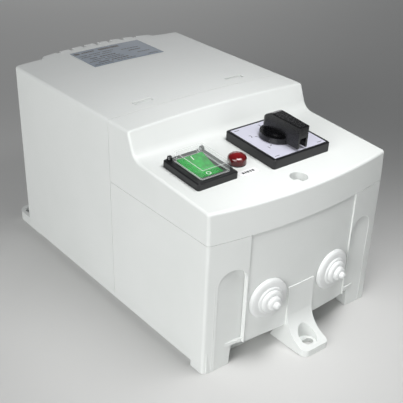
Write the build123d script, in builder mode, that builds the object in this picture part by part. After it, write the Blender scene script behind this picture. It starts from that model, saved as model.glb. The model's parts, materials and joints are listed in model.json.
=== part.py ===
"""Transformer-type motor starter in a vented housing with a hinged control cover.

The starter lies on its mounting face. +Z is up, -Y is the end with the two cable
grommets and +Y is the end with the vents. The origin is the middle of the
bounding box's bottom. All sizes are in millimetres.
"""
from build123d import *
import os
from math import cos, radians, sin, tan

# ---------------------------------------------------------------- enclosure
BODY_W = 154.0          # width over the side walls
FRONT_Y = -121.0        # front corner line at the cover seam
REAR_Y = 120.0          # rear wall
SPLIT_Y = -13.0         # vertical joint between the hood and the front compartment
ROOF_Z = 144.6          # roof height at the side walls
CROWN = 2.0             # roof rise at the centre line
COVER_Z = 99.0          # horizontal joint between the cover and the lower housing
FRONT_BOW = 8.0         # the front bows forward by this much at the centre
FRONT_DRAFT = 3.8       # the lower front leans back by this much at the bottom
WALL = 3.0
EDGE_R = 2.4            # outside edge radius
JOINT_GAP = 0.4         # gap at the vertical joint
COVER_GAP = 0.3         # gap at the cover's lower edge
SIDE_FOOT_Z = 7.0       # side walls stop here, above the base
VENT_FIELD = 105.0      # width of the raised vent field on the rear wall
VENT_STEP = 4.5         # how far its ends stand out
VENT_BOW = 9.0          # and its middle
VENTS = 7
VENT_PITCH = 12.0
VENT_W = 4.0

# ---------------------------------------------------------------- control panel
PANEL_Z = 121.2         # height of the panel's front edge
PANEL_TILT = radians(4.06)
FAIRING_Y = -43.5       # the panel meets the fairing behind it here
FAIRING_R = 10.0
STRIP_Y = -34.5         # front edge of the flat strip above the fairing
PANEL = Plane(
    origin=(0, FRONT_Y, PANEL_Z),
    x_dir=(1, 0, 0),
    z_dir=(0, -sin(PANEL_TILT), cos(PANEL_TILT)),
)
PANEL_NORMAL = Axis((0, 0, 0), tuple(PANEL.z_dir))
SWITCH_AT = (17.3, 44.8)    # places on the panel: across, then up the slope
ROCKER_AT = (-50.0, 43.1)
LAMP_AT = (-22.2, 40.0)
SCREW_AT = (0.5, 5.2)
LABEL_AT = (-23.5, 27.0)

# ---------------------------------------------------------------- cover hinge
HINGE_Z = ROOF_Z + CROWN + 0.2
HOOK_X = 41.0
HOOK_W = 15.0
HOOK_SLOT = (16.0, 5.0)     # window in the hood roof, across and along
HOOK_SLOT_Y = -1.5

# ---------------------------------------------------------------- rotary switch
BEZEL_W = 50.0
BEZEL_H = 7.0
KNOB_D = 26.0
KNOB_TOP = 24.0
KNOB_TIP = 23.5             # reach of the pointer from the axis
KNOB_W = 10.0
SWITCH_W = 42.0             # switch block behind the panel
LATCH_H = 11.0
CHAMBER_H = 9.5
CHAMBERS = 3
SQUARE = 5.5                # square part of the shaft
JOURNAL_R = 4.0
BOLT_AT = 17.5

# ---------------------------------------------------------------- rocker and lamp
ROCKER_FRAME = (32.0, 37.6, 5.0)
ROCKER_POCKET = (21.2, 26.8)
ROCKER_SIZE = (20.4, 24.6)
ROCKER_THROW = 8.0          # degrees each side of the middle
ROCKER_PIVOT = 0.5           # rocker axis above the panel
ROCKER_DEPTH = 22.0
LID_SIZE = (23.0, 30.0)
LID_TOP = 12.5
LID_SHIFT = -1.2
LID_WALL = 1.0
LID_HINGE = (15.4, 6.6)     # lid axis: up the slope from the rocker, above the panel
LAMP_R = 6.3

# ---------------------------------------------------------------- base and feet
TRAY_X = BODY_W / 2 - WALL - 0.4
TRAY_FRONT = -108.0
TRAY_REAR = REAR_Y - WALL - 0.4
FLOOR_Z = 5.0               # top of the tray floor
FLOOR_T = 3.0
TRAY_WALL_H = 15.6
REAR_HOLE = (65.0, 136.0)
FRONT_HOLE_Y = -136.0
EAR_R = 9.0
EAR_H = 8.0
EAR_REACH = 146.0
HOOD_BOSSES = [(sx * 66.0, y) for sx in (-1, 1) for y in (4.0, 100.0)]
TONGUE_W = 23.0
TONGUE_TOP = 47.0
TONGUE_Y = -126.5              # the tongue's face, nearly flush with the wall at its top
ARCH_X = 57.8                  # arched recesses beside the corners
ARCH_W = 21.5
ARCH_TOP = 77.0
ARCH_Y = -122.4                # their flat face, at the cover seam
ARCH_DROP = 12.0               # they run on below the ground by this much

# ---------------------------------------------------------------- grommets
GROMMET_X = 29.3
GROMMET_Z = 45.5
ENTRY_R = 11.0

# ---------------------------------------------------------------- transformer
CORE = (120.0, 50.0, 100.0)
CORE_Y = 60.0
CORE_Z = 8.0
CORE_LEG = 20.0             # outer legs and yokes; the centre leg is twice this
COIL_OUT = 17.0             # the coil stands out this far front and rear
TAPS = 7
TAP_PITCH = 10.0
CORE_BOLT_X = (-(CORE[0] - CORE_LEG) / 2, (CORE[0] - CORE_LEG) / 2)
BRACKET_SCREWS = [(x, CORE_Y + side * (CORE[1] / 2 + 9)) for x in (-48.0, 48.0) for side in (-1, 1)]

# ---------------------------------------------------------------- contactor
CONTACTOR_AT = (-34.0, -46.0)
CONTACTOR = (45.0, 50.0)
POLE_PITCH = 11.0
POLES = (-POLE_PITCH, 0.0, POLE_PITCH)
ARMATURE_GAP = 4.2
CARRIER_Z = 22 + ARMATURE_GAP + 8       # underside of the contact carrier at rest
BRIDGE_Z = CARRIER_Z + 11.9             # underside of the contact bridges at rest
CONTACT_GAP = 4.3
STRIP_TOP = BRIDGE_Z - 1 - CONTACT_GAP - 1
STRIP_T = 1.2

# ---------------------------------------------------------------- terminals
RAIL_X = (2.0, 66.0)
RAIL_Y = -43.0
BLOCK_W = 8.0
BLOCKS = 4
FIRST_BLOCK_X = 10.0
BLOCK_DEPTH = 44.0
SCREW_OUT = 14.0              # clamp screws this far from a block's middle

# ---------------------------------------------------------------- looms, by hand
TAP_ROUTE = [
    (0.0, 24.0, 100.0), (0.0, 10.0, 108.5), (0.0, -6.0, 115.0), (0.0, -24.0, 120.0),
    (18.0, -36.0, 117.0), (40.0, -46.0, 106.0), (48.0, -62.0, 96.0),
]
PANEL_ROUTE = [
    (-34.0, -12.0, 60.0), (-36.0, -16.4, 80.0), (-42.0, -24.0, 98.0), (-46.0, -42.0, 105.0),
    (-38.0, -60.0, 92.0), (-30.0, -72.0, 90.0),
]

os.makedirs("parts", exist_ok=True)


# ================================================================ helpers
def save(shape, label):
    """Label a finished sub-part and write it to its own file."""
    shape.label = label
    export_step(shape, f"parts/{label}.step")


def on_panel(at, height=0.0):
    """A plane parallel to the control panel, centred on a control."""
    origin = PANEL.from_local_coords(Vector(at[0], at[1], height))
    return Plane(origin=origin, x_dir=(1, 0, 0), z_dir=PANEL.z_dir)


def radial_plane(origin, direction):
    """A plane through an axis: local X is the radius, local Y runs along the axis."""
    axis = Vector(*direction).normalized()
    guide = Vector(1, 0, 0)
    if abs(axis.X) > 0.9:
        guide = Vector(0, 0, 1)
    radius = (guide - axis * guide.dot(axis)).normalized()
    return Plane(origin=origin, x_dir=radius, z_dir=radius.cross(axis))


def turned(points, origin, direction):
    """A solid of revolution from (radius, height) points along an axis."""
    with BuildPart() as solid:
        with BuildSketch(radial_plane(origin, direction)):
            with BuildLine():
                Polyline(*points, close=True)
            make_face()
        revolve(axis=Axis(origin, direction))
    return solid.part


def screw(origin, direction, head_r, head_h, shank_r, length):
    """A pan-head screw with a cross recess; origin is under the head."""
    axis = Vector(*direction).normalized()
    body = turned(
        [
            (0, head_h), (head_r * 0.7, head_h), (head_r, head_h * 0.55), (head_r, 0),
            (shank_r, 0), (shank_r, -length + shank_r * 0.6), (shank_r * 0.4, -length), (0, -length),
        ],
        origin,
        direction,
    )
    top = Plane(origin=Vector(*origin) + axis * head_h, z_dir=axis)
    with BuildPart() as solid:
        add(body)
        with BuildSketch(top):
            Rectangle(head_r * 1.1, head_r * 0.26)
            Rectangle(head_r * 0.26, head_r * 1.1)
        extrude(amount=-head_h * 0.5, mode=Mode.SUBTRACT)
    return solid.part


def block(low, high, mode=Mode.ADD):
    """Add or cut a box between two corners in the sub-part being built."""
    size = [b - a for a, b in zip(low, high)]
    middle = tuple((a + b) / 2 for a, b in zip(low, high))
    with Locations(middle):
        Box(*size, mode=mode)


def wire(route, radius):
    """A tube of straight runs joined by arcs as large as the runs allow."""
    points = [Vector(*p) for p in route]
    radii = []
    for before, here, after in zip(points, points[1:], points[2:]):
        arriving = here - before
        leaving = after - here
        shorter = min(arriving.length, leaving.length)
        half_turn = radians(arriving.get_angle(leaving)) / 2
        radii.append(0.45 * shorter / tan(half_turn))
    print("wire bend radii", [round(r, 1) for r in radii])
    with BuildPart() as tube:
        with BuildLine() as path:
            FilletPolyline(*points, radius=radii)
        with BuildSketch(Plane(origin=path.line @ 0, z_dir=path.line % 0)):
            Circle(radius)
        sweep()
    return tube.part


# ================================================================ enclosure shapes
def front_plan(inset, lean, back):
    """Plan of the front compartment: straight sides, a bowed front, rounded corners."""
    half = BODY_W / 2 - inset
    front = FRONT_Y + inset + lean
    with BuildSketch() as plan:
        with BuildLine():
            sides = Polyline((-half, front), (-half, back), (half, back), (half, front))
            ThreePointArc(sides @ 1, (0, front - FRONT_BOW), sides @ 0)
        make_face()
        fillet(plan.vertices().group_by(Axis.Y)[0], max(EDGE_R - inset, 0.6))
    return plan.sketch


def roof_section(inset):
    """Section across the enclosure with the crowned roof."""
    half = BODY_W / 2 - inset
    top = ROOF_Z - inset
    with BuildSketch() as section:
        with BuildLine():
            sides = Polyline((-half, top), (-half, 0), (half, 0), (half, top))
            ThreePointArc(sides @ 1, (0, top + CROWN), sides @ 0)
        make_face()
        fillet(section.vertices().group_by(Axis.Y)[-1], max(EDGE_R - inset, 0.6))
    return section.sketch


def panel_section(inset):
    """Side view of the cover: sloping panel, concave fairing and room for the roof."""
    rise = tan(PANEL_TILT)
    front = FRONT_Y - FRONT_BOW - 10
    drop = inset
    start = (front, PANEL_Z - drop + (front - FRONT_Y) * rise)
    heel = (FAIRING_Y + inset, PANEL_Z - drop + (FAIRING_Y + inset - FRONT_Y) * rise)
    crest = (STRIP_Y + inset * 0.9, ROOF_Z + CROWN + 4)
    back = SPLIT_Y + 20
    with BuildSketch() as section:
        with BuildLine():
            FilletPolyline(start, heel, crest, radius=FAIRING_R + inset)
            Polyline(crest, (back, crest[1]), (back, COVER_Z - 15), (front, COVER_Z - 15), start)
        make_face()
    return section.sketch


def cover_block(inset, low, back):
    """The closed outer or inner form of the cover."""
    with BuildPart() as form:
        with BuildSketch(Plane.XY.offset(low)):
            add(front_plan(inset, 0, back))
        extrude(amount=ROOF_Z + CROWN + 2 - low)
        with BuildSketch(Plane.YZ.offset(-BODY_W)):
            add(panel_section(inset))
        extrude(amount=2 * BODY_W, mode=Mode.INTERSECT)
        with BuildSketch(Plane.XZ.offset(-2 * BODY_W)):
            add(roof_section(inset))
        extrude(amount=4 * BODY_W, mode=Mode.INTERSECT)
    return form.part


def housing_block(inset, low, high, back):
    """The closed outer or inner form of the lower housing, with its leaning front."""
    lean_low = FRONT_DRAFT * (COVER_Z - low) / COVER_Z
    lean_high = FRONT_DRAFT * (COVER_Z - high) / COVER_Z
    with BuildPart() as form:
        with BuildSketch(Plane.XY.offset(low)):
            add(front_plan(inset, lean_low, back))
        with BuildSketch(Plane.XY.offset(high)):
            add(front_plan(inset, lean_high, back))
        loft(ruled=True)
    return form.part


def hood_plan(inset, front):
    """Plan of the hood with the bowed vent field on its rear wall."""
    half = BODY_W / 2 - inset
    rear = REAR_Y - inset
    field = VENT_FIELD / 2 - inset
    with BuildSketch() as plan:
        with Locations((0, (front + rear) / 2)):
            Rectangle(2 * half, rear - front)
        fillet(plan.vertices().group_by(Axis.Y)[-1], max(EDGE_R - inset, 0.6))
    with BuildSketch() as bow:
        with BuildLine():
            sides = Polyline((-field + 1.5, rear + VENT_STEP), (-field, rear - 1), (field, rear - 1),
                             (field - 1.5, rear + VENT_STEP))
            ThreePointArc(sides @ 1, (0, rear + VENT_BOW), sides @ 0)
        make_face()
        fillet([v for v in bow.vertices() if v.Y > rear], max(EDGE_R - inset, 0.6))
    return plan.sketch + bow.sketch


def hood_block(inset, low, front):
    """The closed outer or inner form of the hood."""
    with BuildPart() as form:
        with BuildSketch(Plane.XY.offset(low)):
            add(hood_plan(inset, front))
        extrude(amount=ROOF_Z + CROWN + 2 - low)
        with BuildSketch(Plane.XZ.offset(-2 * BODY_W)):
            add(roof_section(inset))
        extrude(amount=4 * BODY_W, mode=Mode.INTERSECT)
    return form.part


def wall_frame(x, z):
    """Point and outward direction on the bowed, leaning front wall."""
    bow_r = ((BODY_W / 2) ** 2 + FRONT_BOW**2) / (2 * FRONT_BOW)
    lean = FRONT_DRAFT * (COVER_Z - z) / COVER_Z
    y = FRONT_Y - FRONT_BOW + x * x / (2 * bow_r) + lean
    outward = Vector(x / bow_r, -1, -FRONT_DRAFT / COVER_Z).normalized()
    return Vector(x, y, z), outward


# ================================================================ enclosure pieces
def make_control_cover():
    """Cover with the sloping panel, the screw well and two hinge hooks."""
    outer = cover_block(0, COVER_Z + COVER_GAP, SPLIT_Y - JOINT_GAP / 2)
    inner = cover_block(WALL, COVER_Z - 5, SPLIT_Y + 5)
    boss = on_panel(SCREW_AT)
    x, y = SCREW_AT[0], boss.origin.Y
    hook_back = SPLIT_Y + 13.4
    with BuildPart() as cover:
        add(outer)
        round_over = [
            e for e in cover.edges()
            if e.bounding_box().min.Z > COVER_Z + 15
            and e.bounding_box().max.Y < SPLIT_Y - 10
            and (abs(abs(e.center().X) - BODY_W / 2) < 0.01 or e.geom_type == GeomType.ELLIPSE)
        ]
        fillet(round_over, 1.8)
        add(inner, mode=Mode.SUBTRACT)
        with BuildSketch(Plane.XY.offset(COVER_Z + COVER_GAP)):
            with Locations((x, y + 0.6)):
                Circle(8.2)
        extrude(until=Until.NEXT)
        with BuildSketch(on_panel(SCREW_AT, 5)):
            Circle(6.0)
        extrude(amount=-5 - 8.0, mode=Mode.SUBTRACT)
        with BuildSketch(on_panel(SCREW_AT)):
            Circle(2.7)
        extrude(amount=-60, mode=Mode.SUBTRACT)
        for side in (-1, 1):
            block(
                (side * HOOK_X - HOOK_W / 2, SPLIT_Y - 9, HINGE_Z - 7),
                (side * HOOK_X + HOOK_W / 2, SPLIT_Y - 0.2, HINGE_Z - 3.4),
            )
            block(
                (side * HOOK_X - HOOK_W / 2, SPLIT_Y - 1, HINGE_Z - 7),
                (side * HOOK_X + HOOK_W / 2, hook_back, HINGE_Z - 4.3),
            )
            block(
                (side * HOOK_X - HOOK_W / 2 + 0.5, hook_back - 2.4, HINGE_Z - 5),
                (side * HOOK_X + HOOK_W / 2 - 0.5, hook_back, HINGE_Z - 1.6),
            )
            lip = side * (BODY_W / 2 - WALL - 1.4)
            block((lip - 1.1, FRONT_Y + 11, COVER_Z - 3.8), (lip + 1.1, SPLIT_Y - 8, COVER_Z + 5))
            wall_side = side * (BODY_W / 2 - WALL)
            block(
                (wall_side - 0.5, FRONT_Y + 11, COVER_Z + COVER_GAP),
                (wall_side + 0.5, SPLIT_Y - 8, COVER_Z + 5),
            )
        with BuildSketch(on_panel(SWITCH_AT, 2)):
            Circle(9.6)
        extrude(amount=-12, mode=Mode.SUBTRACT)
        with BuildSketch(on_panel(ROCKER_AT, 2)):
            Rectangle(ROCKER_POCKET[0] + 2.4, ROCKER_POCKET[1] + 2.4)
        extrude(amount=-12, mode=Mode.SUBTRACT)
        with BuildSketch(on_panel(LAMP_AT, 2)):
            Circle(5.1)
        extrude(amount=-12, mode=Mode.SUBTRACT)
    save(cover.part, "control_cover")


def make_terminal_housing():
    """Lower front housing: pilasters, arched recesses, shelf, seal ledge and front lug."""
    back = SPLIT_Y - JOINT_GAP / 2
    outer = housing_block(0, 0, COVER_Z, back)
    inner = housing_block(WALL, -3, COVER_Z + 3, back + 5)
    panel_cut = housing_block(-2, -3, COVER_Z + 3, back) - housing_block(1.0, -3, COVER_Z + 3, back)
    shelf = housing_block(1.5, 16, 18.6, TRAY_FRONT + 4)
    ledge = housing_block(1.5, COVER_Z - 7.6, COVER_Z - 5.6, SPLIT_Y - 6)
    ledge_cut = housing_block(5.8, COVER_Z - 9, COVER_Z - 4, SPLIT_Y)
    wall_x = BODY_W / 2
    with BuildPart() as lug:
        with BuildSketch(Plane.YZ.offset(-TONGUE_W / 2)):
            with BuildLine():
                tongue = Polyline((-EAR_REACH, 5), (-EAR_REACH, 0), (-111, 0), (-121, 18.6),
                                  (-123, TONGUE_TOP), (TONGUE_Y, TONGUE_TOP), (TONGUE_Y, 24))
                ThreePointArc(tongue @ 1, (-132.2, 11.2), tongue @ 0)
            make_face()
        extrude(amount=TONGUE_W)
        tip = [e for e in lug.edges().filter_by(Axis.Z) if e.center().Y < -EAR_REACH + 1]
        fillet(tip, 4.5)
        with BuildSketch(Plane.XY.offset(3)):
            with Locations((0, FRONT_HOLE_Y)):
                Circle(6.8)
        extrude(amount=60, mode=Mode.SUBTRACT)
        with BuildSketch(Plane.XY.offset(-1)):
            with Locations((0, FRONT_HOLE_Y)):
                SlotCenterToCenter(4, 6)
        extrude(amount=10, mode=Mode.SUBTRACT)
    with BuildPart() as field:
        with BuildSketch(Plane.XZ.offset(-FRONT_Y - 30)):
            with Locations((0, COVER_Z / 2)):
                Rectangle(93, COVER_Z + 4)
        extrude(amount=60)
        add(panel_cut, mode=Mode.INTERSECT)
    arch_plane = Plane(origin=(0, ARCH_Y, COVER_Z), x_dir=(1, 0, 0), z_dir=(0, -1, -FRONT_DRAFT / COVER_Z))
    arch_middles = [(side * ARCH_X, (ARCH_TOP - ARCH_DROP) / 2 - COVER_Z) for side in (-1, 1)]
    arch_length = ARCH_TOP + ARCH_DROP - ARCH_W
    with BuildPart() as arches:
        with BuildSketch(arch_plane):
            with Locations(*arch_middles):
                SlotCenterToCenter(arch_length, ARCH_W, rotation=90)
        extrude(amount=20)
    with BuildPart() as arch_backs:
        with BuildSketch(arch_plane):
            with Locations(*arch_middles):
                SlotCenterToCenter(arch_length, ARCH_W + 4, rotation=90)
        extrude(amount=-WALL)
        block((-BODY_W, FRONT_Y - 20, -2 * ARCH_W), (BODY_W, FRONT_Y + 20, 0), mode=Mode.SUBTRACT)
    with BuildPart() as housing:
        add(outer)
        # central field and arched corner recesses sink into the outer face
        add(field.part, mode=Mode.SUBTRACT)
        add(arches.part, mode=Mode.SUBTRACT)
        add(inner, mode=Mode.SUBTRACT)
        add(arch_backs.part)
        # the front wall ends above the ground between the feet
        with BuildSketch(Plane.XZ.offset(-FRONT_Y - 16)):
            with BuildLine():
                Polyline((-56, -1), (-54.4, 18), (-47, 18), (-47, 16), (47, 16), (47, 18),
                         (54.4, 18), (56, -1), close=True)
            make_face()
        extrude(amount=40, mode=Mode.SUBTRACT)
        # the side walls end above the base, behind the feet
        block((-wall_x - 1, FRONT_Y + 16, -1), (wall_x + 1, SPLIT_Y + 1, SIDE_FOOT_Z), mode=Mode.SUBTRACT)
        add(shelf)
        add(ledge)
        add(ledge_cut, mode=Mode.SUBTRACT)
        for side in (-1, 1):
            inner_x = side * (wall_x - WALL + 0.5)
            block(
                (min(inner_x, side * 56.5), FRONT_Y + 2.5, 0),
                (max(inner_x, side * 56.5), TRAY_FRONT - 1, 16.5),
            )
        add(lug.part)
        # column for the cover screw
        y = on_panel(SCREW_AT).origin.Y + 0.6
        with BuildSketch(Plane.XY.offset(17)):
            with Locations((SCREW_AT[0], y)):
                Circle(7.0)
        extrude(amount=COVER_Z - 2 - 17)
        block((SCREW_AT[0] - 1.5, y - 11, 17), (SCREW_AT[0] + 1.5, y, COVER_Z - 7))
        with BuildSketch(Plane.XY.offset(COVER_Z - 12)):
            with Locations((SCREW_AT[0], y)):
                Circle(5.2)
        extrude(amount=20, mode=Mode.SUBTRACT)
        for side in (-1, 1):
            place, outward = wall_frame(side * GROMMET_X, GROMMET_Z)
            with BuildSketch(Plane(origin=place + outward * 6, z_dir=outward)):
                Circle(ENTRY_R)
            extrude(amount=-16, mode=Mode.SUBTRACT)
    save(housing.part, "terminal_housing")


def make_transformer_hood():
    """Rear hood with a crowned roof, hook windows, vents and screw bosses."""
    front = SPLIT_Y + JOINT_GAP / 2
    outer = hood_block(0, SIDE_FOOT_Z, front)
    inner = hood_block(WALL, SIDE_FOOT_Z - 3, front - 5)
    with BuildPart() as hood:
        add(outer)
        roof_edge = [
            e for e in hood.edges()
            if e.bounding_box().min.Y > REAR_Y - 2 and e.bounding_box().min.Z > ROOF_Z - 5
        ]
        fillet(roof_edge, 2.0)
        add(inner, mode=Mode.SUBTRACT)
        with BuildSketch(Plane.XY.offset(ROOF_Z - 6)):
            with Locations((-HOOK_X, HOOK_SLOT_Y), (HOOK_X, HOOK_SLOT_Y)):
                RectangleRounded(HOOK_SLOT[0], HOOK_SLOT[1], 0.8)
        extrude(amount=20, mode=Mode.SUBTRACT)
        # vents run down the rear wall and notch the roof's rear edge
        first = -(VENTS - 1) / 2 * VENT_PITCH
        for i in range(VENTS):
            x = first + i * VENT_PITCH
            block(
                (x - VENT_W / 2, REAR_Y - 8, 36), (x + VENT_W / 2, REAR_Y + 12, ROOF_Z - 9),
                mode=Mode.SUBTRACT,
            )
            block(
                (x - VENT_W / 2, REAR_Y + 2.5, ROOF_Z - 14), (x + VENT_W / 2, REAR_Y + 12, ROOF_Z + 5),
                mode=Mode.SUBTRACT,
            )
        # room for the rear feet under the rear wall
        for side in (-1, 1):
            x = side * REAR_HOLE[0]
            block(
                (x - EAR_R - 0.4, REAR_Y - 10, 0), (x + EAR_R + 0.4, REAR_Y + 5, EAR_H + 0.4),
                mode=Mode.SUBTRACT,
            )
        for x, y in HOOD_BOSSES:
            side = 1 if x > 0 else -1
            with BuildSketch(Plane.XY.offset(FLOOR_Z)):
                with Locations((x, y)):
                    Circle(4.5)
            extrude(amount=30)
            near, far = sorted((x, side * (BODY_W / 2 - WALL + 0.5)))
            block((near, y - 2.5, TRAY_WALL_H + 1), (far, y + 2.5, FLOOR_Z + 30))
            with BuildSketch(Plane.XY.offset(FLOOR_Z)):
                with Locations((x, y)):
                    Circle(1.55)
            extrude(amount=14, mode=Mode.SUBTRACT)
    save(hood.part, "transformer_hood")


def make_base_tray():
    """Base with an upstanding wall, a side lip and two rear mounting feet."""
    lip_x = BODY_W / 2 - 0.8
    with BuildPart() as tray:
        block((-TRAY_X, TRAY_FRONT, 0), (TRAY_X, TRAY_REAR, TRAY_WALL_H))
        block((-lip_x, FRONT_Y + 17, SIDE_FOOT_Z - 2.2), (lip_x, TRAY_REAR, SIDE_FOOT_Z - 0.3))
        block(
            (-TRAY_X + 2.4, TRAY_FRONT + 2.4, FLOOR_Z), (TRAY_X - 2.4, TRAY_REAR - 2.4, 40),
            mode=Mode.SUBTRACT,
        )
        block(
            (-TRAY_X + 2.4, TRAY_FRONT + 2.4, -5), (TRAY_X - 2.4, TRAY_REAR - 2.4, FLOOR_Z - FLOOR_T),
            mode=Mode.SUBTRACT,
        )
        with BuildSketch(Plane.XY):
            for side in (-1, 1):
                with Locations((side * REAR_HOLE[0], REAR_HOLE[1] - 14)):
                    Rectangle(2 * EAR_R, 28)
                with Locations((side * REAR_HOLE[0], EAR_REACH - EAR_R)):
                    Circle(EAR_R)
        extrude(amount=EAR_H)
        with BuildSketch(Plane.XY.offset(EAR_H - 2.5)):
            with Locations((-REAR_HOLE[0], REAR_HOLE[1]), (REAR_HOLE[0], REAR_HOLE[1])):
                Circle(6.0)
        extrude(amount=5, mode=Mode.SUBTRACT)
        with BuildSketch(Plane.XY.offset(-1)):
            with Locations((-REAR_HOLE[0], REAR_HOLE[1]), (REAR_HOLE[0], REAR_HOLE[1])):
                Circle(3.0)
        extrude(amount=20, mode=Mode.SUBTRACT)
        # seats and holes for the hood screws
        with BuildSketch(Plane.XY.offset(FLOOR_Z - FLOOR_T)):
            with Locations(*HOOD_BOSSES, *BRACKET_SCREWS):
                Circle(2.05)
        extrude(amount=20, mode=Mode.SUBTRACT)
    save(tray.part, "base_tray")


def make_hood_screws():
    """Four screws driven up through the base into the hood's bosses."""
    screws = [screw((x, y, FLOOR_Z - FLOOR_T), (0, 0, -1), 3.6, 1.8, 1.5, 13.5) for x, y in HOOD_BOSSES]
    with BuildPart() as group:
        add(screws)
    save(group.part, "hood_screws")


def make_bay_partition():
    """Plate between the transformer and the wiring bay, notched for the taps' wires."""
    low_y = SPLIT_Y + 0.6
    with BuildPart() as plate:
        block((-62, low_y, FLOOR_Z), (62, low_y + 2.4, 126))
        block((-62, low_y, FLOOR_Z), (62, low_y + 8, FLOOR_Z + 2))
        with BuildSketch(Plane.XZ.offset(-low_y + 5)):
            with Locations((0, 126)):
                SlotCenterToCenter(26, 22, rotation=90)
        extrude(amount=-20, mode=Mode.SUBTRACT)
    save(plate.part, "bay_partition")


def make_cover_seal():
    """Soft ring on the ledge inside the lower housing's rim."""
    low = COVER_Z - 5.6
    ring = housing_block(WALL + 0.1, low, low + 1.4, SPLIT_Y - 7)
    hole = housing_block(WALL + 2.6, low - 1, low + 3, SPLIT_Y)
    with BuildPart() as seal:
        add(ring)
        add(hole, mode=Mode.SUBTRACT)
    save(seal.part, "cover_seal")


def make_cover_screw():
    """Captive cover screw; its tip sits freely in the housing's column."""
    seat = on_panel(SCREW_AT, -8.0)
    body = screw(tuple(seat.origin), tuple(PANEL.z_dir), 5.4, 3.6, 2.3, 20.4)
    with BuildPart() as captive:
        add(body)
    save(captive.part, "cover_screw")


def make_cable_grommets():
    """Stepped rubber grommets that close the two cable entries."""
    profile = [
        (0, 12.6), (1.3, 12.4), (2.1, 11.8), (2.4, 10.8), (2.5, 9.6), (3.9, 9.4), (4.7, 8.8), (5.0, 7.8),
        (5.1, 6.9), (7.0, 6.7), (7.8, 6.1), (8.1, 5.2), (8.2, 4.5), (9.2, 4.3), (9.7, 3.8), (9.9, 3.3),
        (10.6, 3.2), (12.6, 2.9), (14.0, 2.3), (14.8, 1.3), (15.0, 0.1),
        (10.7, 0.1), (10.7, -2.9), (12.6, -3.1), (12.9, -4.6), (9.2, -4.9),
        (8.4, 1.2), (6.9, 5.0), (3.6, 7.4), (1.2, 9.8), (0, 10.0),
    ]
    for side, label in ((-1, "cable_grommet_left"), (1, "cable_grommet_right")):
        place, outward = wall_frame(side * GROMMET_X, GROMMET_Z)
        seat = place - outward * 1.0
        body = turned(profile, tuple(seat), tuple(outward))
        with BuildPart() as grommet:
            add(body)
        save(grommet.part, label)


def make_rating_label():
    """Thin plate that follows the crowned roof."""
    with BuildPart() as label:
        with BuildSketch(Plane.XZ.offset(-77)):
            add(roof_section(-0.25))
            add(roof_section(0), mode=Mode.SUBTRACT)
        extrude(amount=-38)
        block((-31, 70, ROOF_Z - 3), (33, 120, ROOF_Z + 9), mode=Mode.INTERSECT)
    save(label.part, "rating_label")


def make_lamp_label():
    """Small blank strip beside the lamp."""
    with BuildPart() as label:
        with BuildSketch(on_panel(LABEL_AT, 0.02)):
            RectangleRounded(15, 5.5, 0.4)
        extrude(amount=0.2)
    save(label.part, "lamp_label")


# ================================================================ rotary switch
def make_switch_bezel():
    """Square front plate with a recess for the legend and a bore for the knob."""
    with BuildPart() as bezel:
        with BuildSketch(on_panel(SWITCH_AT, 0.02)):
            RectangleRounded(BEZEL_W, BEZEL_W, 1.4)
        extrude(amount=BEZEL_H)
        top = bezel.faces().sort_by(PANEL_NORMAL)[-1]
        chamfer(top.edges(), 0.6)
        with BuildSketch(on_panel(SWITCH_AT, BEZEL_H - 0.7)):
            Rectangle(BEZEL_W - 3.6, BEZEL_W - 3.6)
        extrude(amount=5, mode=Mode.SUBTRACT)
        with BuildSketch(on_panel(SWITCH_AT, -1)):
            Circle(8.2)
        extrude(amount=20, mode=Mode.SUBTRACT)
    save(bezel.part, "switch_bezel")


def make_switch_legend():
    """Legend plate in the bezel's recess."""
    with BuildPart() as legend:
        with BuildSketch(on_panel(SWITCH_AT, BEZEL_H - 0.68)):
            Rectangle(BEZEL_W - 4, BEZEL_W - 4)
            Circle(8.2, mode=Mode.SUBTRACT)
        extrude(amount=0.5)
    save(legend.part, "switch_legend")


def make_switch_knob():
    """Pointer knob: round skirt, straight hollow fin and a hub with a square socket."""
    centre = on_panel(SWITCH_AT)
    side_view = Plane(origin=centre.origin, x_dir=-centre.y_dir, z_dir=-centre.x_dir)
    tail = -13.0
    with BuildPart() as fin:
        with BuildSketch(side_view.offset(-KNOB_W)):
            with BuildLine():
                edge = Polyline(
                    (-2.5, KNOB_TOP), (KNOB_TIP, KNOB_TOP), (KNOB_TIP, 8.5), (12, 8.5), (tail, 8.5),
                    (tail, 11.5),
                )
                ThreePointArc(edge @ 1, (-9.8, 19.8), edge @ 0)
            make_face()
        extrude(amount=2 * KNOB_W)
        with BuildSketch(centre.offset(5)):
            with BuildLine():
                outline = Polyline((-KNOB_W / 2, 8), (-KNOB_W / 2, -2), (-4.2, -KNOB_TIP), (4.2, -KNOB_TIP),
                                   (KNOB_W / 2, -2), (KNOB_W / 2, 8))
                ThreePointArc(outline @ 1, (0, 13), outline @ 0)
            make_face()
        extrude(amount=30, mode=Mode.INTERSECT)
    with BuildPart() as knob:
        add(fin.part)
        with BuildSketch(centre.offset(BEZEL_H + 0.35)):
            Circle(KNOB_D / 2)
        extrude(amount=3.6, taper=4)
        with BuildSketch(centre.offset(1.5)):
            Circle(7.6)
        extrude(amount=10)
        # the handle is hollow behind its tip
        with BuildSketch(side_view.offset(-2.6)):
            with BuildLine():
                Polyline((14.5, 7), (KNOB_TIP + 1, 7), (KNOB_TIP + 1, 15.5), (14.5, 15.5), close=True)
            make_face()
        extrude(amount=5.2, mode=Mode.SUBTRACT)
        with BuildSketch(centre):
            Rectangle(SQUARE + 0.06, SQUARE + 0.06)
        extrude(amount=15, mode=Mode.SUBTRACT)
        top = [e for e in knob.edges() if (e.center() - centre.origin).dot(centre.z_dir) > KNOB_TOP - 0.1]
        fillet(top, 0.7)
    save(knob.part, "switch_knob")


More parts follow.
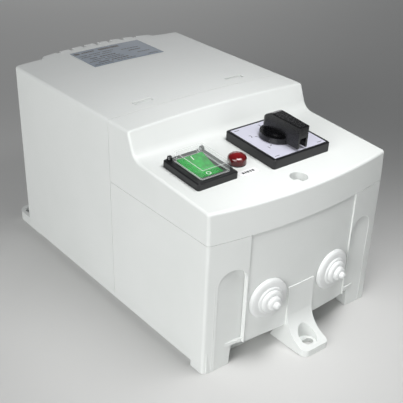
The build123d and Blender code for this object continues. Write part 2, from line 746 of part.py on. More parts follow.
def make_switch_shaft():
    """Square shaft with round journals in the latch housing and the end plate."""
    centre = on_panel(SWITCH_AT)
    low = -WALL - LATCH_H - CHAMBERS * CHAMBER_H
    with BuildPart() as shaft:
        with BuildSketch(centre.offset(low - 3)):
            Rectangle(SQUARE, SQUARE)
        extrude(amount=14.5 - low + 3)
        for start, length in ((low - 3, 3.2), (-WALL - 3, 4.5)):
            with BuildSketch(centre.offset(start)):
                Circle(JOURNAL_R)
            extrude(amount=length)
    save(shaft.part, "switch_shaft")


def make_star_wheel():
    """Notched wheel that gives the switch its clicks, one notch for each 30 degrees."""
    centre = on_panel(SWITCH_AT)
    with BuildPart() as star:
        with BuildSketch(centre.offset(-WALL - LATCH_H + 1.2)):
            Circle(13.2)
            with PolarLocations(14.6, 12):
                Circle(2.6, mode=Mode.SUBTRACT)
            Rectangle(SQUARE + 0.04, SQUARE + 0.04, mode=Mode.SUBTRACT)
        extrude(amount=5.0)
    save(star.part, "switch_star_wheel")


def make_detent_rollers():
    """Two spring-loaded rollers that drop into the star wheel's notches."""
    centre = on_panel(SWITCH_AT)
    with BuildPart() as rollers:
        with BuildSketch(centre.offset(-WALL - LATCH_H + 1.4)):
            with Locations((0, 15.6), (0, -15.6)):
                Circle(2.0)
        extrude(amount=4.6)
    save(rollers.part, "switch_detent_rollers")


def make_latch_housing():
    """First block behind the panel; it holds the star wheel and the rollers."""
    centre = on_panel(SWITCH_AT)
    with BuildPart() as latch:
        with BuildSketch(centre.offset(-WALL - LATCH_H)):
            RectangleRounded(SWITCH_W, SWITCH_W, 3)
        extrude(amount=LATCH_H - 0.05)
        with BuildSketch(centre.offset(-WALL - LATCH_H)):
            Circle(13.6)
            with Locations((0, 14.9), (0, -14.9)):
                Rectangle(4.4, 8)
        extrude(amount=7.0, mode=Mode.SUBTRACT)
        with BuildSketch(centre.offset(-WALL - LATCH_H)):
            Circle(JOURNAL_R + 0.05)
        extrude(amount=20, mode=Mode.SUBTRACT)
        with BuildSketch(centre.offset(-WALL - LATCH_H)):
            with Locations(
                (BOLT_AT, BOLT_AT), (-BOLT_AT, -BOLT_AT), (BOLT_AT, -BOLT_AT), (-BOLT_AT, BOLT_AT),
            ):
                Circle(1.8)
        extrude(amount=9.0, mode=Mode.SUBTRACT)
    save(latch.part, "switch_latch_housing")


def make_switch_chambers():
    """Contact chambers stacked behind the latch, each open at two sides for terminals."""
    centre = on_panel(SWITCH_AT)
    for i in range(CHAMBERS):
        low = -WALL - LATCH_H - (i + 1) * CHAMBER_H
        with BuildPart() as chamber:
            with BuildSketch(centre.offset(low)):
                RectangleRounded(SWITCH_W, SWITCH_W, 3)
                Circle(12.0, mode=Mode.SUBTRACT)
                with Locations(
                    (BOLT_AT, BOLT_AT), (-BOLT_AT, -BOLT_AT), (BOLT_AT, -BOLT_AT), (-BOLT_AT, BOLT_AT),
                ):
                    Circle(1.8, mode=Mode.SUBTRACT)
            extrude(amount=CHAMBER_H - 0.02)
            with BuildSketch(centre.offset(low + 2.5)):
                with Locations((-19, 7), (-19, -7), (19, 7), (19, -7)):
                    Rectangle(8, 8)
            extrude(amount=CHAMBER_H, mode=Mode.SUBTRACT)
        save(chamber.part, f"switch_chamber_{i + 1}")


def make_switch_cams():
    """One cam in each chamber, turned a third of a turn from the one above."""
    centre = on_panel(SWITCH_AT)
    with BuildPart() as cams:
        for i in range(CHAMBERS):
            low = -WALL - LATCH_H - (i + 1) * CHAMBER_H + 1.5
            with BuildSketch(centre.offset(low)):
                Circle(10.8)
                with PolarLocations(11.5, 2, start_angle=120 * i):
                    Circle(4.0, mode=Mode.SUBTRACT)
                Rectangle(SQUARE + 0.04, SQUARE + 0.04, mode=Mode.SUBTRACT)
            extrude(amount=CHAMBER_H - 3)
    save(cams.part, "switch_cams")


def make_switch_end_plate():
    """Rear plate that carries the shaft's end."""
    centre = on_panel(SWITCH_AT)
    low = -WALL - LATCH_H - CHAMBERS * CHAMBER_H - 3.2
    with BuildPart() as plate:
        with BuildSketch(centre.offset(low)):
            RectangleRounded(SWITCH_W, SWITCH_W, 3)
            Circle(JOURNAL_R + 0.05, mode=Mode.SUBTRACT)
            with Locations(
                (BOLT_AT, BOLT_AT), (-BOLT_AT, -BOLT_AT), (BOLT_AT, -BOLT_AT), (-BOLT_AT, BOLT_AT),
            ):
                Circle(1.8, mode=Mode.SUBTRACT)
        extrude(amount=3.1)
    save(plate.part, "switch_end_plate")


def make_switch_bolts():
    """Four long bolts that clamp the stack to the latch housing."""
    centre = on_panel(SWITCH_AT)
    low = -WALL - LATCH_H - CHAMBERS * CHAMBER_H - 3.2
    down = tuple(-PANEL.z_dir)
    bolts = []
    for at in ((BOLT_AT, BOLT_AT), (-BOLT_AT, -BOLT_AT), (BOLT_AT, -BOLT_AT), (-BOLT_AT, BOLT_AT)):
        seat = centre.from_local_coords(Vector(at[0], at[1], low))
        bolts.append(screw(tuple(seat), down, 3.0, 2.0, 1.6, 3.2 + CHAMBERS * CHAMBER_H + 8.5))
    with BuildPart() as group:
        add(bolts)
    save(group.part, "switch_bolts")


def make_switch_terminals():
    """Brass terminals with clamping screws in the chambers' side pockets."""
    centre = on_panel(SWITCH_AT)
    with BuildPart() as terminals:
        for i in range(CHAMBERS):
            low = -WALL - LATCH_H - (i + 1) * CHAMBER_H + 2.6
            with BuildSketch(centre.offset(low)):
                with Locations((-18.6, 7), (-18.6, -7), (18.6, 7), (18.6, -7)):
                    Rectangle(6.6, 6.6)
            extrude(amount=1.4)
            with BuildSketch(centre.offset(low + 1.3)):
                with Locations((-18.4, 7), (-18.4, -7), (18.4, 7), (18.4, -7)):
                    Circle(2.4)
            extrude(amount=2.6)
    save(terminals.part, "switch_terminals")


# ================================================================ rocker switch
def make_rocker_housing():
    """Snap-in frame and body of the rocker switch, with lugs for the splash lid."""
    centre = on_panel(ROCKER_AT)
    with BuildPart() as housing:
        with BuildSketch(centre.offset(0.02)):
            RectangleRounded(ROCKER_FRAME[0], ROCKER_FRAME[1], 1.6)
        extrude(amount=ROCKER_FRAME[2])
        top = housing.faces().sort_by(PANEL_NORMAL)[-1]
        chamfer(top.edges(), 0.7)
        with BuildSketch(centre.offset(-ROCKER_DEPTH)):
            Rectangle(ROCKER_POCKET[0] + 2.2, ROCKER_POCKET[1] + 2.2)
        extrude(amount=ROCKER_DEPTH + 1)
        with BuildSketch(centre.offset(-ROCKER_DEPTH + 2)):
            Rectangle(*ROCKER_POCKET)
        extrude(amount=ROCKER_DEPTH + 10, mode=Mode.SUBTRACT)
        for x in (-12.9, 12.9):
            with BuildSketch(Plane(origin=centre.from_local_coords(Vector(x - 0.8, 0, 0)),
                                   x_dir=centre.y_dir, z_dir=centre.x_dir)):
                with Locations(LID_HINGE):
                    Circle(1.9)
                with Locations((LID_HINGE[0], LID_HINGE[1] - 1.6)):
                    Rectangle(3.8, 3.2)
                with Locations(LID_HINGE):
                    Circle(0.85, mode=Mode.SUBTRACT)
            extrude(amount=1.6)
    save(housing.part, "rocker_housing")


def make_rocker_button():
    """Translucent rocker, resting with its front end pressed."""
    centre = on_panel(ROCKER_AT)
    along = centre.y_dir.rotate(Axis((0, 0, 0), (1, 0, 0)), ROCKER_THROW)
    side_view = Plane(
        origin=centre.from_local_coords(Vector(0, 0, ROCKER_PIVOT)), x_dir=along, z_dir=(1, 0, 0),
    )
    half = ROCKER_SIZE[1] / 2
    with BuildPart() as button:
        with BuildSketch(side_view.offset(-ROCKER_SIZE[0] / 2)):
            with BuildLine():
                skin = Polyline((-half, -1.5), (-half, 4.9), (0, 3.2), (half, 4.9), (half, -1.5))
                ThreePointArc(skin @ 1, (0, -7.5), skin @ 0)
            make_face()
        extrude(amount=ROCKER_SIZE[0])
        rims = [e for e in button.edges() if e.length > 11 and e.center().Z > centre.origin.Z + 1.5]
        fillet(rims, 0.6)
    save(button.part, "rocker_button")


def make_panel_terminals():
    """Push-on tabs under the rocker switch and the signal lamp."""
    with BuildPart() as tabs:
        with BuildSketch(on_panel(ROCKER_AT, -ROCKER_DEPTH - 9)):
            with Locations((-5, 8), (5, 8), (-5, 0), (5, 0), (-5, -8), (5, -8)):
                Rectangle(0.8, 4.8)
        extrude(amount=8.98)
        with BuildSketch(on_panel(LAMP_AT, -34)):
            with Locations((-2, 0), (2, 0)):
                Rectangle(0.6, 2.8)
        extrude(amount=7.98)
    save(tabs.part, "panel_terminals")


def make_splash_lid():
    """Clear flip-up lid over the rocker, with a pin at each rear corner."""
    centre = on_panel(ROCKER_AT)
    low = ROCKER_FRAME[2] + 0.35
    with BuildPart() as lid:
        with BuildSketch(centre.offset(low)):
            with Locations((0, LID_SHIFT)):
                RectangleRounded(LID_SIZE[0], LID_SIZE[1], 1.6)
        extrude(amount=LID_TOP - low)
        top = lid.faces().sort_by(PANEL_NORMAL)[-1]
        fillet(top.edges(), 1.0)
        with BuildSketch(centre.offset(low - 2)):
            with Locations((0, LID_SHIFT)):
                RectangleRounded(LID_SIZE[0] - 2 * LID_WALL, LID_SIZE[1] - 2 * LID_WALL, 0.8)
        extrude(amount=LID_TOP - LID_WALL - low + 2, mode=Mode.SUBTRACT)
        for side in (-1, 1):
            inner = Plane(origin=centre.from_local_coords(Vector(side * 10.0, 0, 0)),
                          x_dir=centre.y_dir, z_dir=centre.x_dir)
            with BuildSketch(inner.offset(-1.0)):
                with Locations(LID_HINGE):
                    Circle(1.25)
                with Locations((LID_HINGE[0] - 1.5, LID_HINGE[1])):
                    Rectangle(2.4, 2.5)
            extrude(amount=2.0)
            with BuildSketch(inner):
                with Locations(LID_HINGE):
                    Circle(0.8)
            extrude(amount=side * 3.6)
    save(lid.part, "splash_lid")


# ================================================================ signal lamp
def make_lamp():
    """Signal lamp: threaded body, coloured lens and fixing nut."""
    centre = on_panel(LAMP_AT)
    up = tuple(PANEL.z_dir)
    body = turned(
        [(0, 0.8), (LAMP_R, 0.8), (LAMP_R, 0.02), (5.0, 0.02), (5.0, -24), (3.6, -26), (0, -26)],
        tuple(centre.origin), up,
    )
    lens = turned(
        [(0, 0.82), (LAMP_R, 0.82), (LAMP_R, 4.4), (LAMP_R - 0.4, 5.3), (LAMP_R - 1.3, 6.0), (3.6, 6.5),
         (1.8, 6.8), (0, 6.9)],
        tuple(centre.origin), up,
    )
    with BuildPart() as lamp_body:
        add(body)
    save(lamp_body.part, "lamp_body")
    with BuildPart() as lamp_lens:
        add(lens)
    save(lamp_lens.part, "lamp_lens")
    with BuildPart() as nut:
        with BuildSketch(on_panel(LAMP_AT, -WALL - 3.6)):
            RegularPolygon(7.5, 6)
            Circle(5.0, mode=Mode.SUBTRACT)
        extrude(amount=3.5)
    save(nut.part, "lamp_nut")


# ================================================================ transformer
def make_transformer_core():
    """Stack of E and I laminations with two windows and four bolt holes."""
    width, depth, height = CORE
    with BuildPart() as core:
        with BuildSketch(Plane.XZ.offset(-CORE_Y + depth / 2)):
            with Locations((0, CORE_Z + height / 2)):
                Rectangle(width, height)
                with Locations((-1.5 * CORE_LEG, 0), (1.5 * CORE_LEG, 0)):
                    Rectangle(CORE_LEG, height - 2 * CORE_LEG, mode=Mode.SUBTRACT)
                with GridLocations(width - CORE_LEG, height - CORE_LEG, 2, 2):
                    Circle(2.8, mode=Mode.SUBTRACT)
        extrude(amount=-depth)
    save(core.part, "transformer_core")


def coil_ring(outside, hole, low, high, corner):
    """A rounded rectangular ring round the core's centre leg."""
    with BuildPart() as ring:
        with BuildSketch(Plane.XY.offset(low)):
            with Locations((0, CORE_Y)):
                RectangleRounded(outside[0], outside[1], corner)
                Rectangle(hole[0], hole[1], mode=Mode.SUBTRACT)
        extrude(amount=high - low)
    return ring.part


def make_coil():
    """Bobbin, winding, tape band and soldering tags for the taps."""
    low = CORE_Z + CORE_LEG + 0.4
    high = CORE_Z + CORE[2] - CORE_LEG - 0.4
    hole = (2 * CORE_LEG + 0.6, CORE[1] + 0.6)
    tube = (hole[0] + 3, hole[1] + 3)
    flange = (4 * CORE_LEG - 1, CORE[1] + 2 * COIL_OUT + 2)
    wound = (4 * CORE_LEG - 3, CORE[1] + 2 * COIL_OUT)
    flanges = [coil_ring(flange, hole, z, z + 2, 5) for z in (low, high - 2)]
    sleeve = coil_ring(tube, hole, low, high, 1)
    copper = coil_ring(wound, tube, low + 2.1, high - 2.1, 9)
    band = coil_ring((wound[0] + 0.9, wound[1] + 0.9), wound, low + 8, high - 8, 9.4)
    wound_outline = coil_ring(wound, (1, 1), low + 8, high - 8, 9)
    with BuildPart() as bobbin:
        add(sleeve)
        add(flanges)
    save(bobbin.part, "coil_bobbin")
    with BuildPart() as winding:
        add(copper)
    save(winding.part, "coil_winding")
    with BuildPart() as tape:
        add(band)
        add(wound_outline, mode=Mode.SUBTRACT)
    save(tape.part, "coil_tape")
    first = -(TAPS - 1) / 2 * TAP_PITCH
    with BuildPart() as tags:
        for i in range(TAPS):
            x = first + i * TAP_PITCH
            block(
                (x - 2.2, CORE_Y - CORE[1] / 2 - 12, high + 0.02),
                (x + 2.2, CORE_Y - CORE[1] / 2 - 4, high + 0.8),
            )
            block(
                (x - 1.6, CORE_Y - CORE[1] / 2 - 12, high + 0.3),
                (x + 1.6, CORE_Y - CORE[1] / 2 - 11.2, high + 9),
            )
    save(tags.part, "tap_tags")


def make_core_brackets():
    """Two angle brackets that stand the core on the base."""
    front = CORE_Y - CORE[1] / 2
    with BuildPart() as brackets:
        for side, face in ((-1, front), (1, front + CORE[1])):
            near, far = sorted((face, face + side * 2.5))
            block((-CORE[0] / 2, near, FLOOR_Z), (CORE[0] / 2, far, CORE_Z + CORE_LEG - 1))
            near, far = sorted((face, face + side * 15))
            block((-CORE[0] / 2, near, FLOOR_Z), (CORE[0] / 2, far, FLOOR_Z + 2.5))
            with BuildSketch(Plane.XY.offset(FLOOR_Z - 1)):
                with Locations((-48, face + side * 9), (48, face + side * 9)):
                    Circle(2.3)
            extrude(amount=6, mode=Mode.SUBTRACT)
        with BuildSketch(Plane.XZ.offset(-front + 10)):
            with Locations(*[(x, CORE_Z + CORE_LEG / 2) for x in CORE_BOLT_X]):
                Circle(2.8)
        extrude(amount=-(CORE[1] + 20), mode=Mode.SUBTRACT)
    save(brackets.part, "core_brackets")


def make_core_bolts():
    """Four bolts through the core, each with a washer face and a nut."""
    front = CORE_Y - CORE[1] / 2
    low = CORE_Z + CORE_LEG / 2
    high = CORE_Z + CORE[2] - CORE_LEG / 2
    with BuildPart() as bolts:
        for z, skin in ((low, 2.5), (high, 0.0)):
            for x in CORE_BOLT_X:
                with BuildSketch(Plane.XZ.offset(-front + skin + 4)):
                    with Locations((x, z)):
                        RegularPolygon(4.6, 6)
                extrude(amount=-3.98)
                with BuildSketch(Plane.XZ.offset(-front + skin + 1)):
                    with Locations((x, z)):
                        Circle(2.5)
                extrude(amount=-(CORE[1] + 2 * skin + 8))
                with BuildSketch(Plane.XZ.offset(-front - CORE[1] - skin - 0.02)):
                    with Locations((x, z)):
                        RegularPolygon(4.6, 6)
                extrude(amount=-4)
    save(bolts.part, "core_bolts")


def make_bracket_screws():
    """Four screws that hold the core's brackets to the base."""
    screws = [screw((x, y, FLOOR_Z + 2.5), (0, 0, 1), 3.8, 2.4, 2.0, 5.0) for x, y in BRACKET_SCREWS]
    with BuildPart() as group:
        add(screws)
    save(group.part, "bracket_screws")


# ================================================================ contactor
def at_contactor(low, high, mode=Mode.ADD):
    """A box in the contactor's own frame: across, along, and height above the floor."""
    x, y = CONTACTOR_AT
    block((low[0] + x, low[1] + y, low[2] + FLOOR_Z), (high[0] + x, high[1] + y, high[2] + FLOOR_Z), mode)


def make_contactor_base():
    """Open-topped lower case of the contactor."""
    half_x, half_y = CONTACTOR[0] / 2, CONTACTOR[1] / 2
    with BuildPart() as base:
        at_contactor((-half_x, -half_y, 0), (half_x, half_y, 28))
        at_contactor(
            (-half_x + 2.5, -half_y + 2.5, 2.5), (half_x - 2.5, half_y - 2.5, 40), mode=Mode.SUBTRACT,
        )
        edges = [e for e in base.edges().filter_by(Axis.Z) if e.length > 27]
        fillet(edges, 1.5)
    save(base.part, "contactor_base")


def make_contactor_magnet():
    """Fixed E core, coil bobbin and coil in the lower case."""
    with BuildPart() as core:
        at_contactor((-7, -17, 2.6), (7, 17, 9))
        for low, high in ((-17, -11.5), (-5, 5), (11.5, 17)):
            at_contactor((-7, low, 8.5), (7, high, 22))
    save(core.part, "contactor_core")
    with BuildPart() as bobbin:
        at_contactor((-8.6, -6.6, 9.1), (8.6, 6.6, 21.6))
        for z in (9.1, 20.4):
            at_contactor((-17.5, -10.9, z), (17.5, 10.9, z + 1.2))
        at_contactor((-7.3, -5.3, 5), (7.3, 5.3, 30), mode=Mode.SUBTRACT)
    save(bobbin.part, "contactor_bobbin")
    with BuildPart() as coil:
        at_contactor((-13.5, -10.6, 10.4), (13.5, 10.6, 20.3))
        at_contactor((-8.7, -6.7, 5), (8.7, 6.7, 30), mode=Mode.SUBTRACT)
    save(coil.part, "contactor_coil")


def make_contactor_armature():
    """Moving iron with three short legs above the fixed core."""
    low = 22 + ARMATURE_GAP
    with BuildPart() as armature:
        at_contactor((-7, -17, low + 2), (7, 17, low + 8))
        for near, far in ((-17, -11.5), (-5, 5), (11.5, 17)):
            at_contactor((-7, near, low), (7, far, low + 2.5))
    save(armature.part, "contactor_armature")


def make_contact_carrier():
    """Moulded carrier on the armature, with a window for each bridge and a flag on top."""
    low = CARRIER_Z
    with BuildPart() as carrier:
        at_contactor((-18, -4.5, low), (18, 4.5, low + 17))
        for x in POLES:
            at_contactor((x - 2.8, -6, low + 11.9), (x + 2.8, 6, low + 15), mode=Mode.SUBTRACT)
        at_contactor((-3, -3, low + 16), (3, 3, low + 23))
    save(carrier.part, "contact_carrier")


def make_moving_contacts():
    """Three contact bridges with a silver tip at each end."""
    low = BRIDGE_Z
    x0, y0 = CONTACTOR_AT
    with BuildPart() as bridges:
        for x in POLES:
            at_contactor((x - 2.5, -11.2, low), (x + 2.5, 11.2, low + 1.2))
            with BuildSketch(Plane.XY.offset(FLOOR_Z + low - 1)):
                with Locations((x0 + x, y0 - 9.2), (x0 + x, y0 + 9.2)):
                    Circle(1.8)
            extrude(amount=1.4)
    save(bridges.part, "moving_contacts")


def make_fixed_contacts():
    """Six fixed strips that run out to the terminals."""
    x0, y0 = CONTACTOR_AT
    with BuildPart() as strips:
        for x in POLES:
            for side in (-1, 1):
                near, far = sorted((side * 7.4, side * 22))
                at_contactor((x - 3, near, STRIP_TOP - STRIP_T), (x + 3, far, STRIP_TOP))
                with BuildSketch(Plane.XY.offset(FLOOR_Z + STRIP_TOP - 0.2)):
                    with Locations((x0 + x, y0 + side * 9.2)):
                        Circle(1.8)
                extrude(amount=1.2)
    save(strips.part, "fixed_contacts")


def make_contactor_housing():
    """Upper case with the carrier's well and six open terminal wells."""
    half_x, half_y = CONTACTOR[0] / 2, CONTACTOR[1] / 2
    strip = STRIP_TOP - STRIP_T
    with BuildPart() as housing:
        at_contactor((-half_x, -half_y, 28.1), (half_x, half_y, 55))
        edges = [e for e in housing.edges().filter_by(Axis.Z) if e.length > 20]
        fillet(edges, 1.5)
        at_contactor((-20, -18.5, 20), (20, 18.5, strip - 1.6), mode=Mode.SUBTRACT)
        at_contactor((-20, -12, 20), (20, 12, 52.6), mode=Mode.SUBTRACT)
        at_contactor((-3.4, -3.4, 50), (3.4, 3.4, 60), mode=Mode.SUBTRACT)
        for x in POLES:
            for side in (-1, 1):
                near, far = sorted((side * 14.5, side * 23.2))
                at_contactor((x - 3.9, near, strip - 0.02), (x + 3.9, far, 60), mode=Mode.SUBTRACT)
                near, far = sorted((side * 11, side * 16))
                at_contactor((x - 3.2, near, strip - 0.02), (x + 3.2, far, strip + 1.4), mode=Mode.SUBTRACT)
                near, far = sorted((side * 20, side * 30))
                at_contactor((x - 2.4, near, strip + 1.3), (x + 2.4, far, strip + 5), mode=Mode.SUBTRACT)
    save(housing.part, "contactor_housing")


def make_return_springs():
    """Two springs that push the carrier up."""
    x0, y0 = CONTACTOR_AT
    low = FLOOR_Z + 21.6 + 0.6
    height = ARMATURE_GAP + 8 + 22 - 21.6 - 1.2
    with BuildPart() as springs:
        for side in (-1, 1):
            start = (x0 + side * 14.5, y0, low)
            with BuildLine() as coil:
                Helix(pitch=height / 5, height=height, radius=2.2, center=start)
            with BuildSketch(Plane(origin=coil.line @ 0, z_dir=coil.line % 0)):
                Circle(0.32)
            sweep(path=coil.line, is_frenet=True)
    save(springs.part, "return_springs")


# ================================================================ terminals
def make_terminal_rail():
    """Top-hat rail with two fixing screws' holes."""
    with BuildPart() as rail:
        with BuildSketch(Plane.YZ.offset(RAIL_X[0])):
            with Locations((RAIL_Y, FLOOR_Z)):
                Rectangle(27, 1, align=(Align.CENTER, Align.MIN))
                with Locations((-13, 0), (13, 0)):
                    Rectangle(1, 7.5, align=(Align.CENTER, Align.MIN))
                with Locations((-15.25, 6.5), (15.25, 6.5)):
                    Rectangle(4.5, 1, align=(Align.CENTER, Align.MIN))
        extrude(amount=RAIL_X[1] - RAIL_X[0])
    save(rail.part, "terminal_rail")


def block_profile(depth):
    """Side view of a rail terminal: claws, shoulders and a raised middle."""
    base = FLOOR_Z + 7.6
    half = depth / 2
    with BuildSketch() as profile:
        with BuildLine():
            Polyline(
                (RAIL_Y - half, base), (RAIL_Y - half, base + 22), (RAIL_Y - half + 6, base + 24),
                (RAIL_Y - 10, base + 33), (RAIL_Y + 10, base + 33), (RAIL_Y + half - 6, base + 24),
                (RAIL_Y + half, base + 22), (RAIL_Y + half, base), close=True,
            )
        make_face()
    return profile.sketch


def rail_block(x):
    """One rail terminal with a screw well and a wire funnel at each end."""
    base = FLOOR_Z + 7.6
    with BuildPart() as terminal:
        with BuildSketch(Plane.YZ.offset(x)):
            add(block_profile(BLOCK_DEPTH))
        extrude(amount=BLOCK_W)
        for side in (-1, 1):
            y = RAIL_Y + side * SCREW_OUT
            block((x + 1.2, y - 3.2, base + 12), (x + BLOCK_W - 1.2, y + 3.2, base + 40), Mode.SUBTRACT)
            near, far = sorted((y, RAIL_Y + side * BLOCK_DEPTH))
            block((x + 1.8, near, base + 13), (x + BLOCK_W - 1.8, far, base + 18), Mode.SUBTRACT)
        block(
            (x + 2, RAIL_Y - SCREW_OUT, base + 12),
            (x + BLOCK_W - 2, RAIL_Y + SCREW_OUT, base + 13.6),
            Mode.SUBTRACT,
        )
    return terminal.part


def make_terminal_blocks():
    """Rail terminals for the live conductors, one for the earth, and two end stops."""
    base = FLOOR_Z + 7.6
    places = [FIRST_BLOCK_X + i * (BLOCK_W + 0.2) for i in range(BLOCKS + 1)]
    live = [rail_block(x) for x in places[:-1]]
    earth = rail_block(places[-1])
    with BuildPart() as blocks:
        add(live)
    save(blocks.part, "terminal_blocks")
    with BuildPart() as earth_block:
        add(earth)
    save(earth_block.part, "earth_terminal_block")
    with BuildPart() as stops:
        for x in (places[0] - 6.2, places[-1] + BLOCK_W + 0.2):
            with BuildSketch(Plane.YZ.offset(x)):
                add(block_profile(BLOCK_DEPTH - 4))
            extrude(amount=6)
    save(stops.part, "rail_end_stops")
    with BuildPart() as bars:
        for x in places:
            block(
                (x + 2.05, RAIL_Y - SCREW_OUT - 3, base + 12.05),
                (x + BLOCK_W - 2.05, RAIL_Y + SCREW_OUT + 3, base + 13.3),
            )
    save(bars.part, "terminal_bars")


def make_terminal_screws():
    """Clamping screws of the rail terminals and of the contactor."""
    clamp_z = FLOOR_Z + 7.6 + 20
    strip_z = FLOOR_Z + STRIP_TOP + 0.02
    screws = []
    for side in (-1, 1):
        for i in range(BLOCKS + 1):
            x = FIRST_BLOCK_X + i * (BLOCK_W + 0.2) + BLOCK_W / 2
            screws.append(screw((x, RAIL_Y + side * SCREW_OUT, clamp_z), (0, 0, 1), 2.5, 2.4, 1.5, 5.4))
        for x in POLES:
            place = (CONTACTOR_AT[0] + x, CONTACTOR_AT[1] + side * 18.6, strip_z)
            screws.append(screw(place, (0, 0, 1), 3.1, 2.2, 1.0, 0.01))
    with BuildPart() as group:
        add(screws)
    save(group.part, "terminal_screws")


# ================================================================ internal wiring
def make_wiring():
    """Loose looms inside the case; the two that reach the cover bend as it opens."""
    tap_bundle = wire(TAP_ROUTE, 3.2)
    panel_bundle = wire(PANEL_ROUTE, 2.4)
    with BuildPart() as tap_loom:
        add(tap_bundle)
    save(tap_loom.part, "tap_loom")
    with BuildPart() as panel_loom:
        add(panel_bundle)
    save(panel_loom.part, "panel_loom")
    links = []
    alley_y = CONTACTOR_AT[1] + CONTACTOR[1] / 2 + 4.6
    for i, x in enumerate(POLES):
        start = CONTACTOR_AT[0] + x
        end = FIRST_BLOCK_X + (2 - i) * (BLOCK_W + 0.2) + BLOCK_W / 2
        top = FLOOR_Z + 62 - 6.0 * i
        links.append(wire([
            (start, alley_y - 4.4, FLOOR_Z + 41.5),
            (start + 0.5, alley_y - 0.6, FLOOR_Z + 43.0),
            (start + 5, alley_y, top - 7),
            ((start + end) / 2, alley_y + 0.3, top),
            (end - 5, alley_y, top - 9),
            (end - 0.5, alley_y - 0.6, FLOOR_Z + 25.5),
            (end, alley_y - 4.4, FLOOR_Z + 23.1),
        ], 1.4))
    with BuildPart() as link_wires:
        add(links)
    save(link_wires.part, "link_wires")


make_base_tray()
make_transformer_hood()
make_terminal_housing()
make_bay_partition()
make_cover_seal()
make_hood_screws()
make_cable_grommets()
make_rating_label()
make_transformer_core()
make_coil()
make_core_brackets()
make_core_bolts()
make_bracket_screws()
make_terminal_rail()
make_terminal_blocks()
make_terminal_screws()
make_contactor_base()
make_contactor_magnet()
make_contactor_armature()
make_contact_carrier()
make_moving_contacts()
make_fixed_contacts()
make_contactor_housing()
make_return_springs()
make_control_cover()
make_cover_screw()
make_lamp_label()
make_switch_bezel()
make_switch_legend()
make_switch_knob()
make_switch_shaft()
make_star_wheel()
make_detent_rollers()
make_latch_housing()
make_switch_chambers()
make_switch_cams()
make_switch_end_plate()
make_switch_bolts()
make_switch_terminals()
make_rocker_housing()
make_rocker_button()
make_panel_terminals()
make_splash_lid()
make_lamp()
make_wiring()
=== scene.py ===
"""Looks for a wall-mounted motor starter: finishes, printed marks, windings, wires, light and camera."""
import json
from math import cos, pi, radians, sin

import bmesh
import bpy
from mathutils import Matrix, Vector
from mathutils.bvhtree import BVHTree


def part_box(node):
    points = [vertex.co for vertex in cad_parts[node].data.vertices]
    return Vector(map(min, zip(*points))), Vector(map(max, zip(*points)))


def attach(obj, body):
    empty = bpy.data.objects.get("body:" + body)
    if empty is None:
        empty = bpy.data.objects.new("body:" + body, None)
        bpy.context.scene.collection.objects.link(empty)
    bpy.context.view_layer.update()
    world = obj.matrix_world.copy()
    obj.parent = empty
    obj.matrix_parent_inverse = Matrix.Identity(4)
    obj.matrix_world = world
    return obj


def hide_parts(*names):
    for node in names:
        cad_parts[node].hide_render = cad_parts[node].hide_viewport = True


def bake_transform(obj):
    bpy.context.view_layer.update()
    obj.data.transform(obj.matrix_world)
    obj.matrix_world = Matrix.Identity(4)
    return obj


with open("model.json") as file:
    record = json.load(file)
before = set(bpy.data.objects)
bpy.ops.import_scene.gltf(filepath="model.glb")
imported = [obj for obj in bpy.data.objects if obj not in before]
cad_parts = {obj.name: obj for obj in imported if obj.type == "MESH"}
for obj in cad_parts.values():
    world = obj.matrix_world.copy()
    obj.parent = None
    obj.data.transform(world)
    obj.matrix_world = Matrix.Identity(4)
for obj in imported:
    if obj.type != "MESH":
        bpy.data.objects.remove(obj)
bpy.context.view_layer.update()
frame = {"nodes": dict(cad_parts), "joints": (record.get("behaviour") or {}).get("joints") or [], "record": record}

MM = 0.001
NODES = frame["nodes"]
JOINTS = {joint["name"]: joint for joint in frame["joints"]}

# The control panel's own directions and the places on it, from the joints that stand on it.
KNOB_CENTRE = Vector(JOINTS["knob_turn"]["pos_m"])
PANEL_UP = -Vector(JOINTS["knob_turn"]["axis"]).normalized()
ACROSS = Vector((1.0, 0.0, 0.0))
UP_SLOPE = PANEL_UP.cross(ACROSS)
ROCKER_PIVOT = Vector(JOINTS["rocker_tilt"]["pos_m"])

# Switch positions and print sizes, in metres.
POSITIONS = 6
STEP_ANGLE = radians(JOINTS["knob_turn"]["range_deg"][1]) / (POSITIONS - 1)
DIGIT_RADIUS = 18.4 * MM
DIGIT_HEIGHT = 4.2 * MM
TICK_INNER = 14.0 * MM
TICK_OUTER = 15.8 * MM
TICK_WIDTH = 0.45 * MM
PRINT_LIFT = 0.03 * MM
RAY_START = 30 * MM
CORNER_BAR = (4 * MM, 0.5 * MM)
CORNER_BAR_ACROSS = 19 * MM
CORNER_BAR_UP = 20.6 * MM
LAMP_BARS_MM = (1.5, 1.0, 1.7, 1.2, 1.6)
LAMP_BAR_GAP_MM = 0.7
LAMP_BAR_HEIGHT = 2.1 * MM
MARK_FROM_PIVOT = 8.6 * MM
RING_RADIUS = 1.75 * MM
RING_HOLE = 0.72
RING_STEPS = 28
ON_BAR = (0.55 * MM, 3.4 * MM)
BARS_PER_RUN = 6
BAR_FILL = 0.82

# Winding and wire sizes, in metres.
COIL_WIRE = 1.6 * MM
CONTACTOR_WIRE = 0.55 * MM
CORNER_RADIUS = {"coil_turns": 9 * MM, "contactor_coil_turns": 2 * MM}
LEAD_RADIUS = 0.95 * MM
TAP_SPREAD_MM = 2.1
PANEL_SPREAD_MM = 1.5

# The view's directions, place in metres, lens and film width.
VIEW_RIGHT = Vector((0.78889, -0.61438, 0.01384))
VIEW_DOWN = Vector((-0.28063, -0.38019, -0.88131))
VIEW_FORWARD = Vector((0.54672, 0.69137, -0.47234))
VIEW_PLACE = Vector((-0.34788, -0.45672, 0.36139))
VIEW_LENS_MM = 75.55
VIEW_FILM_MM = 36.0

